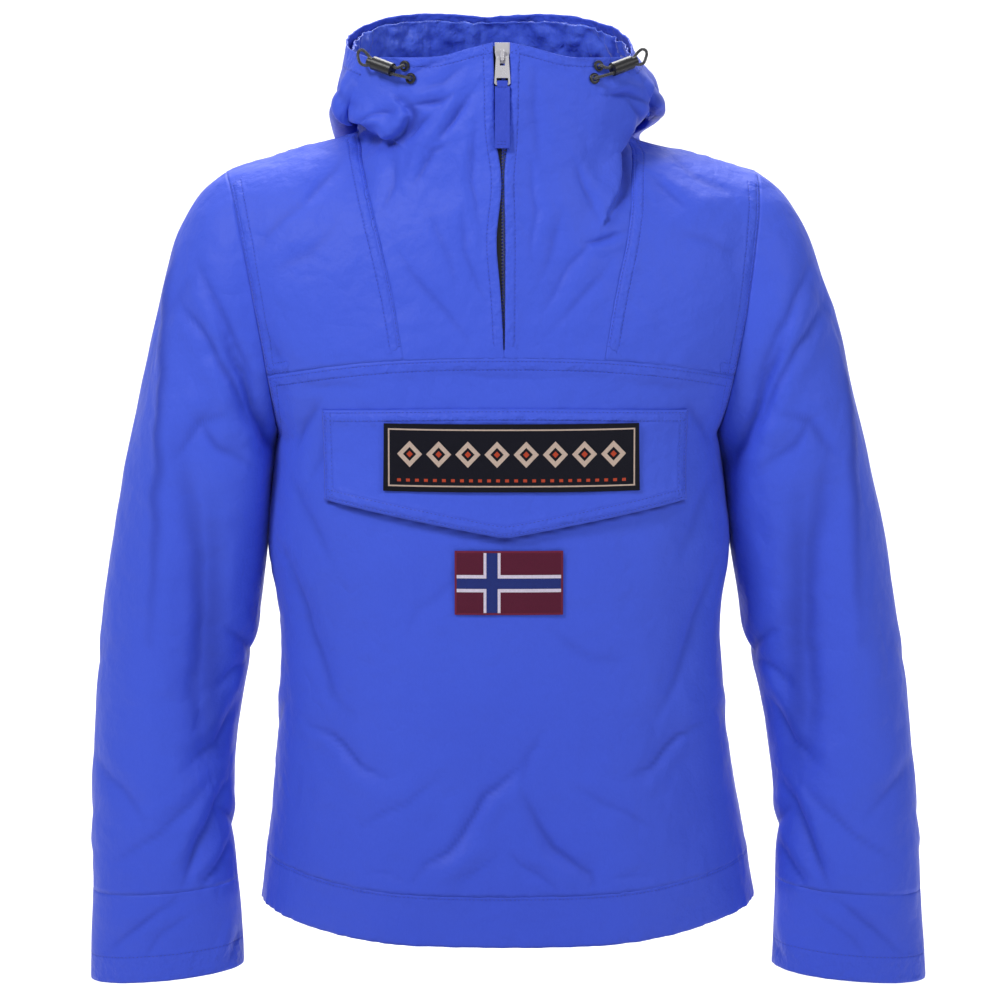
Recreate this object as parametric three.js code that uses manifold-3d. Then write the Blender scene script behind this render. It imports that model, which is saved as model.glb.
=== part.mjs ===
// Anorak pullover in its worn shape: a hood lying down round the neck, a half zip, a chest pocket
// flap with two sewn patches, set-in sleeves with deep cuffs, and a curved hem band.
// Units are millimetres, +Z is up and the front faces -Y. The origin is the middle of the neck's
// base, level with the shoulders that carry the garment. Left and right are the wearer's own.
import * as THREE from "three";
import Module from "manifold-3d";
import { mergeVertices } from "three/addons/utils/BufferGeometryUtils.js";

const wasm = await Module();
wasm.setup();

// Cloth and seams
const CLOTH = 1.6; // thickness of a cloth wall
const LINING = 1.0;
const SEAM_GAP = 0.6; // open width of a seam between two panels
const ROUNDNESS = 2.4; // exponent of the body's level lines, 2 being an ellipse
const SLEEVE_ROUNDNESS = 2.15;
const LEVEL_DIP = 2.6; // how late a level line climbs from the middle to its edge

// Heights of the main lines
const HEM_SIDE_Z = -647;
const HEM_FRONT_Z = -664;
const HEM_BACK_Z = -676;
const HEM_BAND = 42;
const ARMPIT_Z = -250;
const CHEST_SEAM_Z = -178;

// Columns and rows of the panels' grids
const YOKE_COLUMNS = 7;
const INSET_COLUMNS = 5;
const NECK_COLUMNS = 5;
const LOWER_ROWS = 14;
const UNDERARM_ROWS = 4; // armhole steps from the armpit up to the chest seam
const YOKE_ROWS = 8; // armhole steps from the chest seam up to the shoulder
const BACK_ROWS = 12; // armhole steps up the back
const ARMHOLE_STEPS = UNDERARM_ROWS + YOKE_ROWS + BACK_ROWS;
const FUNNEL_ROWS = 5;
const HOOD_ROWS_PER_STEP = 4;
const HOOD_ROWS = FUNNEL_ROWS * HOOD_ROWS_PER_STEP;
const HOOD_COLUMNS = 2 * NECK_COLUMNS;
const SLEEVE_ROWS = 19;
const CUFF_ROWS = 4;
const HEM_ROWS = 2;

// Body: half width at the side seam, and depth of front and back, from the hem up
const BODY = [
  { z: -680, side: 212.5, front: 129, back: 123 },
  { z: -622, side: 208, front: 127, back: 120 },
  { z: -566, side: 198.5, front: 123, back: 115 },
  { z: -483, side: 190, front: 119, back: 109 },
  { z: -402, side: 186, front: 118, back: 107 },
  { z: -352, side: 193, front: 120, back: 108 },
  { z: -300, side: 189.5, front: 122, back: 110 },
  { z: -250, side: 184, front: 125, back: 113 },
  { z: -178, side: 184, front: 125, back: 116 },
];

// Sleeve: where each ring's outer and inner ends are, how far it sits back, and its two half depths
const SLEEVE = [
  { at: 0, outerX: 221, outerZ: -31, innerX: 184, innerZ: -250, y: 0, front: 70, back: 73 },
  { at: 16, outerX: 241, outerZ: -43, innerX: 186.5, innerZ: -260, y: 1, front: 73, back: 76 },
  { at: 33, outerX: 256, outerZ: -63, innerX: 189, innerZ: -270, y: 2, front: 75, back: 77 },
  { at: 52, outerX: 266, outerZ: -88, innerX: 191, innerZ: -282, y: 2, front: 76, back: 77 },
  { at: 78, outerX: 277, outerZ: -122, innerX: 193, innerZ: -298, y: 3, front: 76, back: 76 },
  { at: 112, outerX: 289, outerZ: -167, innerX: 195, innerZ: -320, y: 5, front: 75, back: 75 },
  { at: 157, outerX: 303, outerZ: -226, innerX: 198, innerZ: -350, y: 7, front: 73, back: 73 },
  { at: 209, outerX: 318, outerZ: -290, innerX: 202, innerZ: -388, y: 9, front: 71, back: 71 },
  { at: 259, outerX: 330, outerZ: -350, innerX: 208, innerZ: -426, y: 9, front: 69, back: 69 },
  { at: 304, outerX: 338, outerZ: -405, innerX: 216, innerZ: -460, y: 6, front: 67, back: 67 },
  { at: 350, outerX: 344, outerZ: -460, innerX: 223, innerZ: -496, y: 2, front: 65, back: 65 },
  { at: 400, outerX: 349, outerZ: -520, innerX: 228, innerZ: -536, y: -4, front: 62, back: 62 },
  { at: 451, outerX: 352, outerZ: -576, innerX: 230, innerZ: -582, y: -11, front: 58, back: 58 },
  { at: 501, outerX: 353, outerZ: -637, innerX: 228, innerZ: -628, y: -17, front: 54, back: 53 },
  { at: 543, outerX: 354.5, outerZ: -676, innerX: 226, innerZ: -665, y: -21, front: 50, back: 49 },
  { at: 585, outerX: 356, outerZ: -713, innerX: 224, innerZ: -701, y: -25, front: 46, back: 45 },
];
const CUFF_AT = 501; // where the cuff is sewn on
const SLEEVE_END = 585;
const SLEEVE_SPREAD = 1.15; // rings lie closer together near the armhole

// Shoulder seam from the sleeve to the neck, slightly arched
const SHOULDER_TIP = new THREE.Vector3(221, 0, -31);
const NECK_POINT = new THREE.Vector3(115, -6, 1);
const SHOULDER_ARCH = 0;

// Front edge of the yoke, from the chest seam up to the neck point
const YOKE_EDGE = [
  { step: 0, x: 82, y: -119, z: -180 },
  { step: 2, x: 89, y: -112, z: -134 },
  { step: 4, x: 100, y: -99, z: -86 },
  { step: 5.5, x: 107, y: -80, z: -50 },
  { step: 7, x: 112, y: -42, z: -14 },
  { step: 8, x: 115, y: -6, z: 1 },
];

// Front edge of the hood's side, from the neck point up to the face edge
const FUNNEL_EDGE = [
  { step: 0, x: 115, y: -6, z: 1 },
  { step: 1, x: 118, y: -20, z: 15 },
  { step: 2, x: 119, y: -33, z: 27 },
  { step: 3, x: 117, y: -44, z: 39 },
  { step: 4, x: 112, y: -53, z: 51 },
  { step: 5, x: 106, y: -60, z: 63 },
];

// Middle of the front, up the zip
const MIDDLE_FRONT = [
  { z: -178, y: -125 },
  { z: -130, y: -120 },
  { z: -80, y: -113 },
  { z: -30, y: -105 },
  { z: 20, y: -98 },
  { z: 76, y: -90 },
];
const ZIP_STAND = 12; // how far the face edge rises at the zip
const ZIP_STAND_WIDTH = 34;

// Middle of the back above the armpits
const MIDDLE_BACK = [
  { z: -250, y: 113 },
  { z: -180, y: 117 },
  { z: -110, y: 115 },
  { z: -50, y: 101 },
  { z: -15, y: 84 },
  { z: 10, y: 72 },
];
const SHOULDER_BLEND = 2.4; // how late the upper back turns onto the shoulder seam

// How far each front edge stands away from the zip's middle
const ZIP_PARTING = [
  { z: -178, right: 0.4, left: 0.4 },
  { z: -150, right: 1.4, left: 0.7 },
  { z: -115, right: 3.6, left: 1 },
  { z: -85, right: 6.4, left: 1.3 },
  { z: -62, right: 4, left: 1.2 },
  { z: -45, right: 1.4, left: 1 },
  { z: -24, right: 1.8, left: 1.6 },
  { z: -5, right: 6.6, left: 6.6 },
  { z: 10, right: 7.5, left: 7.5 },
  { z: 30, right: 7.8, left: 7.8 },
  { z: 80, right: 7.8, left: 7.8 },
];

// Seam of the hood round the back of the neck: straight stretches between these points
const NECK_SEAM = [
  { u: 0, x: 115, y: -6, z: 1 },
  { u: 0.2, x: 109, y: 20, z: 3 },
  { u: 0.4, x: 94, y: 44, z: 6 },
  { u: 0.6, x: 69, y: 61, z: 9 },
  { u: 0.8, x: 37, y: 69, z: 10 },
  { u: 1, x: 0, y: 72, z: 10 },
];

// Face edge of the hood, from the end of the front panel round to the back
const FACE_EDGE = [
  { u: 0, x: 106, y: -60, z: 63 },
  { u: 0.12, x: 117, y: -36, z: 68 },
  { u: 0.25, x: 121, y: -8, z: 74 },
  { u: 0.4, x: 118, y: 24, z: 80 },
  { u: 0.55, x: 107, y: 52, z: 89 },
  { u: 0.7, x: 84, y: 75, z: 97 },
  { u: 0.85, x: 46, y: 88, z: 101 },
  { u: 1, x: 0, y: 91, z: 97 },
];

// The hood's cloth from the neck seam over its roll, down into the bag and up to the face edge.
// share is how far a point has moved from the seam's plan to the face edge's; o is the distance out
// and z the height, at the side (S), behind the side (B), near the back (N) and at the back (M).
const HOOD_STATIONS = [
  { u: 0, o: "oS", z: "zS" },
  { u: 0.16, o: "oS", z: "zS" },
  { u: 0.4, o: "oB", z: "zB" },
  { u: 0.7, o: "oN", z: "zN" },
  { u: 1, o: "oM", z: "zM" },
];
const HOOD_PROFILE = [
  { name: "rise", share: 0.05, oS: 1, zS: 16, oB: 1, zB: 22, oN: 1, zN: 28, oM: 1, zM: 32 },
  { name: "roll", share: 0.1, oS: 6, zS: 19, oB: 7, zB: 26, oN: 9, zN: 34, oM: 10, zM: 38 },
  { name: "fall", share: 0.15, oS: 11, zS: 14, oB: 15, zB: 14, oN: 24, zN: 8, oM: 30, zM: 8 },
  { name: "bottom in", share: 0.2, oS: 15, zS: 9, oB: 23, zB: -6, oN: 38, zN: -48, oM: 47, zM: -82 },
  { name: "bottom out", share: 0.3, oS: 21, zS: 8, oB: 33, zB: -9, oN: 52, zN: -58, oM: 63, zM: -96 },
  { name: "low belly", share: 0.4, oS: 23, zS: 13, oB: 37, zB: 3, oN: 65, zN: -38, oM: 79, zM: -68 },
  { name: "belly", share: 0.5, oS: 24, zS: 21, oB: 38, zB: 18, oN: 66, zN: 0, oM: 80, zM: -14 },
  { name: "shoulder", share: 0.7, oS: 17, zS: 36, oB: 26, zB: 42, oN: 42, zN: 46, oM: 54, zM: 44 },
  { name: "top", share: 0.9, oS: 7, zS: 54, oB: 9, zB: 62, oN: 12, zN: 76, oM: 14, zM: 80 },
];
const HOOD_START = 0.16; // share of the hood's half over which its roll grows from the front panel
const LINING_FROM_ROW = 12;
const LINING_FROM_COLUMN = 2;

// The garment's upper half leans to the wearer's right, most at the shoulders and not at the zip
const LEAN = [
  { z: -720, shift: 4 },
  { z: -650, shift: 2.5 },
  { z: -534, shift: -1.5 },
  { z: -400, shift: -4.5 },
  { z: -250, shift: -7 },
  { z: -150, shift: -8.5 },
  { z: -80, shift: -11 },
  { z: -20, shift: -12 },
  { z: 18, shift: -6.5 },
  { z: 50, shift: -9 },
  { z: 85, shift: -15 },
  { z: 110, shift: -16 },
];
const LEAN_DEPTH = 110;
const LEAN_AT_FRONT = 0.1;

// Main folds of the body: ends as seen from the front, width across, and depth (a trough is below 0)
const BODY_FOLDS = [
  { face: -1, x0: 0, z0: -500, x1: -92, z1: -600, width: 26, depth: -5 },
  { face: -1, x0: 22, z0: -520, x1: 88, z1: -606, width: 26, depth: -5 },
  { face: -1, x0: -28, z0: -520, x1: -66, z1: -612, width: 24, depth: 3 },
  { face: -1, x0: -160, z0: -500, x1: -104, z1: -532, width: 24, depth: -5 },
  { face: -1, x0: 164, z0: -500, x1: 112, z1: -532, width: 24, depth: -5 },
  { face: -1, x0: -176, z0: -345, x1: -132, z1: -476, width: 26, depth: -4 },
  { face: -1, x0: 172, z0: -345, x1: 130, z1: -476, width: 26, depth: -4 },
  { face: -1, x0: -60, z0: -200, x1: 70, z1: -202, width: 22, depth: -3 },
  { face: -1, x0: -152, z0: -60, x1: -124, z1: -20, width: 22, depth: -4 },
  { face: -1, x0: 152, z0: -52, x1: 128, z1: -22, width: 20, depth: -3 },
  { face: 1, x0: -150, z0: -300, x1: -60, z1: -330, width: 34, depth: -5 },
  { face: 1, x0: 146, z0: -290, x1: 66, z1: -335, width: 32, depth: -5 },
  { face: 1, x0: -20, z0: -360, x1: 40, z1: -420, width: 40, depth: -4 },
  { face: 1, x0: 10, z0: -500, x1: -80, z1: -600, width: 30, depth: -5 },
  { face: 1, x0: 40, z0: -520, x1: 110, z1: -600, width: 28, depth: -4 },
  { face: 1, x0: -130, z0: -420, x1: -60, z1: -470, width: 34, depth: 4 },
];

// Main folds of each sleeve, on the right one's side: x0 and x1 count out from the body's middle
const SLEEVE_FOLDS = [
  { face: -1, x0: 218, z0: -150, x1: 206, z1: -262, width: 24, depth: -7 },
  { face: -1, x0: 262, z0: -150, x1: 222, z1: -262, width: 26, depth: -5 },
  { face: -1, x0: 226, z0: -500, x1: 262, z1: -525, width: 24, depth: -6 },
  { face: -1, x0: 226, z0: -552, x1: 282, z1: -624, width: 22, depth: -5 },
  { face: -1, x0: 232, z0: -596, x1: 270, z1: -632, width: 20, depth: -4 },
  { face: -1, x0: 236, z0: -330, x1: 300, z1: -300, width: 30, depth: -4 },
  { face: 1, x0: 214, z0: -180, x1: 258, z1: -280, width: 30, depth: -6 },
  { face: 1, x0: 224, z0: -400, x1: 320, z1: -430, width: 28, depth: -5 },
  { face: 1, x0: 236, z0: -470, x1: 330, z1: -452, width: 26, depth: -5 },
  { face: 1, x0: 240, z0: -560, x1: 320, z1: -600, width: 26, depth: -4 },
];

// Gentle waves round the body that grow towards the hem
const HEM_WAVES = [
  { count: 5, phase: 0.1, height: 2.6 },
  { count: 9, phase: 3, height: 1.4 },
];
const WAVES_FROM_Z = -380;
const WAVES_FULL_Z = -640;

// Pocket flap and the two patches, as seen from the front
const FLAP = { halfTop: 149, halfBottom: 145, topZ: -219, topDip: 4, cornerZ: -296, tipZ: -324 };
const FLAP_CLOTH = 2;
const FLAP_LIFT = 4; // how far the flap's free edge stands off the front
const FLAP_COLUMNS = 22;
const FLAP_ROWS = 5;
const LABEL = { left: -97, right: 107, top: -231, bottom: -286, cloth: 1.4 };
const FLAG = { left: -41, right: 47, top: -335, bottom: -388, cloth: 1.4 };
const PATCH_COLUMNS = 12;
const PATCH_ROWS = 3;
const LAID_GAP = 0.9; // between a panel and what is sewn onto it

// Zip
const TAPE = { inner: 1.5, outer: 15, cloth: 0.9, topZ: 72, bottomZ: -176, rows: 12 };
const TAPE_GAP = 0.8; // behind the front panels
const SLIDER_Z = 66; // height of the slider's middle
const SLIDER = { width: 12.4, neck: 8.6, height: 17, plate: 1.4, space: 2.6, post: 1.8 };
const BRIDGE = { width: 2.6, reach: 4.4, height: 9, bar: 1.2 };
const PULL = { pin: 0.9, top: 10.4, bottom: 13, length: 23, plate: 1.5, window: 7.2, slot: 9.4 };
const STRAP = { width: 12, length: 50, cloth: 0.9 };
const PULL_TILT = THREE.MathUtils.degToRad(9.5); // the front leans back by this much

// Drawcord, its locks and eyelets, for each side of the face edge
const CORD_RADIUS = 1.25;
const EYELET = { outer: 4.6, inner: 2.3, height: 1.3, sides: 14, gap: 0.7 };
const LOCK = { radius: 5.6, length: 19, bore: 1.9, spread: 2.8, button: 3.9, buttonLength: 5, sides: 14 };
const EYELET_PLACES = [
  { name: "lower", column: 2.1, row: 11.95 },
  { name: "upper", column: 1.72, row: 12.55 },
];
const CORD_SIDES = 8;
const CORD_STEPS = 40;

// Each drawcord's route, from the lower eyelet through the lock, round its loop and back
const CORD_ROUTES = {
  left: [
    [72.5, -83, 46], [74, -86.5, 46.5], [84.5, -85, 49.5], [88, -83, 50.5], [103.5, -73.5, 56],
    [105.5, -72, 57], [112, -68.5, 58], [114.5, -66.5, 62.5], [115, -66, 67.5], [112.5, -67, 69.5],
    [109, -69, 68], [104, -72, 62.5], [101.5, -74, 61.5], [86, -83.5, 56], [83, -85.5, 54.5],
    [77.5, -83, 56.5], [76, -79.5, 56],
  ],
  right: [
    [-76.5, -83, 46], [-78, -86.5, 46.5], [-89, -85, 49], [-92.5, -83.5, 50], [-108, -74, 56],
    [-110.5, -72.5, 56.5], [-117, -69, 57.5], [-119.5, -67.5, 62], [-119.5, -67, 67], [-117.5, -68, 69],
    [-114, -70, 67.5], [-109, -73, 62], [-106.5, -74.5, 61], [-90.5, -84, 55.5], [-87.5, -85.5, 54.5],
    [-83, -83, 56.5], [-81.5, -79.5, 56],
  ],
};

const BLUE = new THREE.MeshStandardMaterial({ color: 0x4660d6, roughness: 0.62 });
const SATIN = new THREE.MeshStandardMaterial({ color: 0x3a55d2, roughness: 0.34 });
const PATCH_BLACK = new THREE.MeshStandardMaterial({ color: 0x25242b, roughness: 0.85 });
const PATCH_RED = new THREE.MeshStandardMaterial({ color: 0x5e1f36, roughness: 0.8 });
const TAPE_BLACK = new THREE.MeshStandardMaterial({ color: 0x14151c, roughness: 0.8 });
const STEEL = new THREE.MeshStandardMaterial({ color: 0xc9c8cc, roughness: 0.3, metalness: 0.9 });
const BLACK_PLASTIC = new THREE.MeshStandardMaterial({ color: 0x17171a, roughness: 0.35 });
const CORD_BLACK = new THREE.MeshStandardMaterial({ color: 0x0f1018, roughness: 0.75 });

const { clamp, lerp, smoothstep } = THREE.MathUtils;

// Reads one column of a table as a smooth curve through its rows.
function read(table, knot, column, at) {
  let i = 0;
  while (i < table.length - 2 && at > table[i + 1][knot]) i += 1;
  const slope = (j) => {
    const before = table[Math.max(j - 1, 0)];
    const after = table[Math.min(j + 1, table.length - 1)];
    return (after[column] - before[column]) / (after[knot] - before[knot]);
  };
  const width = table[i + 1][knot] - table[i][knot];
  const t = clamp((at - table[i][knot]) / width, 0, 1);
  const a = table[i][column];
  const b = table[i + 1][column];
  const bend = (1 - t) * (slope(i) * width - (b - a)) - t * (slope(i + 1) * width - (b - a));
  return a + (b - a) * t + t * (1 - t) * bend;
}

const readPoint = (table, knot, at) =>
  new THREE.Vector3(...["x", "y", "z"].map((column) => read(table, knot, column, at)));

// Reads a table of points as straight stretches.
function readStraight(table, knot, at) {
  let i = 0;
  while (i < table.length - 2 && at > table[i + 1][knot]) i += 1;
  const t = (at - table[i][knot]) / (table[i + 1][knot] - table[i][knot]);
  const a = new THREE.Vector3(table[i].x, table[i].y, table[i].z);
  return a.lerp(new THREE.Vector3(table[i + 1].x, table[i + 1].y, table[i + 1].z), t);
}

const mirrored = (p) => new THREE.Vector3(-p.x, p.y, p.z);

// A ring of the left sleeve. angle 0 is its outer end, a quarter turn its front, a half turn its inner end.
function sleevePoint(at, angle) {
  const ring = (column) => read(SLEEVE, "at", column, at);
  const round = (v) => Math.sign(v) * Math.abs(v) ** (2 / SLEEVE_ROUNDNESS);
  const across = round(Math.cos(angle));
  const deep = round(Math.sin(angle));
  const outer = new THREE.Vector3(ring("outerX"), ring("y"), ring("outerZ"));
  const inner = new THREE.Vector3(ring("innerX"), ring("y"), ring("innerZ"));
  const p = inner.clone().lerp(outer, 0.5 + across / 2);
  p.y -= deep * (deep > 0 ? ring("front") : ring("back"));
  return p;
}

// The armhole is the sleeve's first ring. Steps count from the armpit up the front, and negative up the back.
const armholePoint = (step) => sleevePoint(0, Math.PI - (step * 2 * Math.PI) / ARMHOLE_STEPS);

// A level line of the body from an edge point round to the middle, at equal steps of its length.
function levelLine(edge, middle, shares) {
  const depth = Math.abs(middle.y);
  const bent = 1 - Math.min(Math.abs(edge.y) / depth, 0.999) ** ROUNDNESS;
  const half = edge.x / bent ** (1 / ROUNDNESS);
  const start = Math.atan2((Math.abs(edge.y) / depth) ** (ROUNDNESS / 2), (edge.x / half) ** (ROUNDNESS / 2));
  const samples = 120;
  const points = [];
  const lengths = [0];
  for (let i = 0; i <= samples; i += 1) {
    const angle = lerp(start, Math.PI / 2, i / samples);
    const x = half * Math.max(Math.cos(angle), 0) ** (2 / ROUNDNESS);
    const y = Math.sign(middle.y) * depth * Math.sin(angle) ** (2 / ROUNDNESS);
    const z = lerp(middle.z, edge.z, (x / edge.x) ** LEVEL_DIP);
    points.push(new THREE.Vector3(x, y, z));
    if (i > 0) lengths.push(lengths[i - 1] + points[i].distanceTo(points[i - 1]));
  }
  return shares.map((share) => {
    const wanted = share * lengths[samples];
    let i = 0;
    while (i < samples - 1 && lengths[i + 1] < wanted) i += 1;
    return points[i].clone().lerp(points[i + 1], (wanted - lengths[i]) / (lengths[i + 1] - lengths[i]));
  });
}

const evenShares = (from, to, count) => Array.from({ length: count + 1 }, (_, i) => lerp(from, to, i / count));

// A half row made whole: the left half as given, then its mirror image without the middle point again.
function wholeRow(half) {
  const rightHalf = half.slice(0, -1).map(mirrored);
  return [...half, ...rightHalf.reverse()];
}

// Share of the chest seam's length, from the armhole, that the yoke takes
const YOKE_SHARE = 0.615;
const frontShares = [
  ...evenShares(0, YOKE_SHARE, YOKE_COLUMNS),
  ...evenShares(YOKE_SHARE, 1, INSET_COLUMNS).slice(1),
];
const backShares = [
  ...evenShares(0, 0.58, YOKE_COLUMNS),
  ...evenShares(0.58, 1, NECK_COLUMNS).slice(1),
];

// Edge and middle of a level line between the hem and the armpit; rise is 0 at the hem, 1 at the armpit.
function bodyLevel(facing, hemZ, sideZ, rise) {
  const depthOf = facing < 0 ? "front" : "back";
  const middleZ = lerp(hemZ, ARMPIT_Z, rise);
  const edgeZ = lerp(sideZ, ARMPIT_Z, rise);
  const edge = new THREE.Vector3(read(BODY, "z", "side", edgeZ), 0, edgeZ);
  const middle = new THREE.Vector3(0, facing * read(BODY, "z", depthOf, middleZ), middleZ);
  return [edge, middle];
}

const hemZ = (facing) => (facing < 0 ? HEM_FRONT_Z : HEM_BACK_Z);

function lowerRows(facing, shares) {
  return evenShares(0, 1, LOWER_ROWS).map((rise) => {
    const level = bodyLevel(facing, hemZ(facing) + HEM_BAND, HEM_SIDE_Z + HEM_BAND, rise);
    return wholeRow(levelLine(...level, shares));
  });
}

function frontLower() {
  const rows = lowerRows(-1, frontShares);
  for (let step = 1; step <= UNDERARM_ROWS; step += 1) {
    const z = lerp(ARMPIT_Z, CHEST_SEAM_Z, step / UNDERARM_ROWS);
    const middle = new THREE.Vector3(0, -read(BODY, "z", "front", z), z);
    rows.push(wholeRow(levelLine(armholePoint(step), middle, frontShares)));
  }
  return rows;
}

function hemBand() {
  return evenShares(0, 1, HEM_ROWS).map((rise) => {
    const level = (facing) => {
      const from = hemZ(facing) + HEM_BAND * rise;
      const [edge, middle] = bodyLevel(facing, from, HEM_SIDE_Z + HEM_BAND * rise, 0);
      return wholeRow(levelLine(edge, middle, facing < 0 ? frontShares : backShares));
    };
    const back = level(1).reverse();
    return [...level(-1), ...back.slice(1, -1)];
  });
}

// Point of the shoulder seam, 0 at the sleeve and 1 at the neck.
function shoulderPoint(share) {
  const p = SHOULDER_TIP.clone().lerp(NECK_POINT, share);
  p.z += SHOULDER_ARCH * 4 * share * (1 - share);
  return p;
}

// A panel filled in smoothly between four edges that meet at its corners.
function filled(bottom, top, first, last) {
  const rows = first.length - 1;
  const columns = bottom.length - 1;
  const point = (i, j) => {
    const s = i / columns;
    const t = j / rows;
    const p = new THREE.Vector3();
    p.addScaledVector(bottom[i], 1 - t).addScaledVector(top[i], t);
    p.addScaledVector(first[j], 1 - s).addScaledVector(last[j], s);
    p.addScaledVector(bottom[0], -(1 - s) * (1 - t)).addScaledVector(bottom[columns], -s * (1 - t));
    p.addScaledVector(top[0], -(1 - s) * t).addScaledVector(top[columns], -s * t);
    return p;
  };
  return first.map((_, j) => bottom.map((__, i) => point(i, j)));
}

function yoke(chestRow) {
  const bottom = chestRow.slice(0, YOKE_COLUMNS + 1);
  const top = evenShares(0, 1, YOKE_COLUMNS).map(shoulderPoint);
  const armhole = evenShares(0, YOKE_ROWS, YOKE_ROWS).map((step) => armholePoint(UNDERARM_ROWS + step));
  const edge = evenShares(0, YOKE_ROWS, YOKE_ROWS).map((step) => readPoint(YOKE_EDGE, "step", step));
  edge[0].copy(bottom[YOKE_COLUMNS]);
  return filled(bottom, top, armhole, edge);
}

// The front panel beside the zip, from the chest seam up to the face edge, for one side of the body.
function inset(chestRow, side) {
  const corner = chestRow[YOKE_COLUMNS];
  const edges = evenShares(0, YOKE_ROWS, YOKE_ROWS).map((step) => readPoint(YOKE_EDGE, "step", step));
  edges[0].copy(corner);
  edges.push(...evenShares(1, FUNNEL_ROWS, FUNNEL_ROWS - 1).map((step) => readPoint(FUNNEL_EDGE, "step", step)));
  const last = edges.length - 1;
  return edges.map((edge, j) => {
    const t = j / last;
    const z = lerp(CHEST_SEAM_Z, edges[last].z, t);
    const stand = t ** 3 * ZIP_STAND;
    const middle = new THREE.Vector3(0, read(MIDDLE_FRONT, "z", "y", z), z);
    const parting = read(ZIP_PARTING, "z", side, z + stand);
    const line = levelLine(edge, middle, evenShares(0, 1, 40));
    const length = line.reduce((sum, p, i) => sum + (i ? p.distanceTo(line[i - 1]) : 0), 0);
    const row = levelLine(edge, middle, evenShares(0, 1 - parting / length, INSET_COLUMNS));
    row.forEach((p) => (p.z += stand * Math.exp(-((p.x / ZIP_STAND_WIDTH) ** 4))));
    return row;
  });
}

function back() {
  const rows = lowerRows(1, backShares);
  const bottom = rows.pop();
  const shoulder = evenShares(0, 1, YOKE_COLUMNS).map(shoulderPoint);
  const neck = NECK_SEAM.slice(1).map((row) => new THREE.Vector3(row.x, row.y, row.z));
  const top = wholeRow([...shoulder, ...neck]);
  const topZ = NECK_SEAM.at(-1).z;
  const upper = evenShares(0, BACK_ROWS, BACK_ROWS).map((step) => {
    const z = lerp(ARMPIT_Z, topZ, step / BACK_ROWS);
    const middle = new THREE.Vector3(0, read(MIDDLE_BACK, "z", "y", z), z);
    return wholeRow(levelLine(armholePoint(-step), middle, backShares));
  });
  const missing = top.map((p, i) => p.clone().sub(upper[BACK_ROWS][i]));
  upper.forEach((row, step) => {
    const share = (step / BACK_ROWS) ** SHOULDER_BLEND;
    row.forEach((p, i) => p.addScaledVector(missing[i], share));
  });
  upper[0] = bottom;
  return [...rows, ...upper];
}

function sleeve() {
  return evenShares(0, 1, SLEEVE_ROWS).map((share) => {
    const at = CUFF_AT * share ** SLEEVE_SPREAD;
    return evenShares(0, 1, ARMHOLE_STEPS).slice(1).map((turn) => sleevePoint(at, turn * 2 * Math.PI));
  });
}

function cuff() {
  return evenShares(CUFF_AT, SLEEVE_END, CUFF_ROWS).map((at) =>
    evenShares(0, 1, ARMHOLE_STEPS).slice(1).map((turn) => sleevePoint(at, turn * 2 * Math.PI)),
  );
}

// The hood's half, from the neck seam (row 0) to the face edge, and from the front panel to the back.
function hood() {
  const rows = [];
  for (let j = 0; j <= HOOD_ROWS; j += 1) rows.push([]);
  evenShares(0, 1, HOOD_COLUMNS).forEach((u) => {
    const seam = readStraight(NECK_SEAM, "u", u);
    const edge = readPoint(FACE_EDGE, "u", u);
    const outward = new THREE.Vector3(edge.x + seam.x, edge.y + seam.y + 10, 0).normalize();
    const profile = HOOD_PROFILE.map((row) => {
      const stations = HOOD_STATIONS.map((s) => ({ u: s.u, o: row[s.o], z: row[s.z] }));
      const p = seam.clone().lerp(edge, row.share);
      p.addScaledVector(outward, read(stations, "u", "o", u));
      p.z = read(stations, "u", "z", u);
      return p;
    });
    const line = new THREE.CatmullRomCurve3([seam, ...profile, edge], false, "centripetal");
    const grown = smoothstep(u, 0, HOOD_START);
    for (let j = 0; j <= HOOD_ROWS; j += 1) {
      const start = readStraight(FUNNEL_EDGE, "step", j / HOOD_ROWS_PER_STEP);
      rows[j].push(start.lerp(line.getPoint(j / HOOD_ROWS), grown));
    }
  });
  rows[0] = evenShares(0, 1, HOOD_COLUMNS).map((u) => readStraight(NECK_SEAM, "u", u));
  return rows;
}

// How deep the folds are at a point: each is a soft groove or ridge between its two ends.
function foldDepth(folds, p, normal, side) {
  return folds.reduce((sum, fold) => {
    const facing = clamp(normal.y * fold.face * 2, 0, 1);
    const run = new THREE.Vector2(side * (fold.x1 - fold.x0), fold.z1 - fold.z0);
    const from = new THREE.Vector2(p.x - side * fold.x0, p.z - fold.z0);
    const t = clamp(from.dot(run) / run.lengthSq(), 0, 1);
    const away = from.addScaledVector(run, -t).length() / fold.width;
    const taper = 0.35 + 0.65 * Math.sin(Math.PI * t);
    return sum + fold.depth * facing * taper * Math.exp(-3 * away * away);
  }, 0);
}

function waveHeight(p) {
  const grown = smoothstep(-p.z, -WAVES_FROM_Z, -WAVES_FULL_Z);
  const turn = Math.atan2(p.y, p.x);
  return HEM_WAVES.reduce((sum, wave) => sum + grown * wave.height * Math.sin(wave.count * turn + wave.phase), 0);
}

function leaned(p) {
  const share = clamp(1 + p.y / LEAN_DEPTH, LEAN_AT_FRONT, 1);
  return new THREE.Vector3(p.x + share * read(LEAN, "z", "shift", clamp(p.z, -720, 110)), p.y, p.z);
}

// Panels: a grid of points, whether it closes round on itself, and which folds it takes
const chestRow = frontLower().at(-1);
const onRight = (rows) => rows.map((row) => row.map(mirrored));
const panels = new Map();

function addPanel(name, rows, { wrap = false, kind = "body", side = 1 } = {}) {
  panels.set(name, { name, rows, wrap, kind, side });
}

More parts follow.
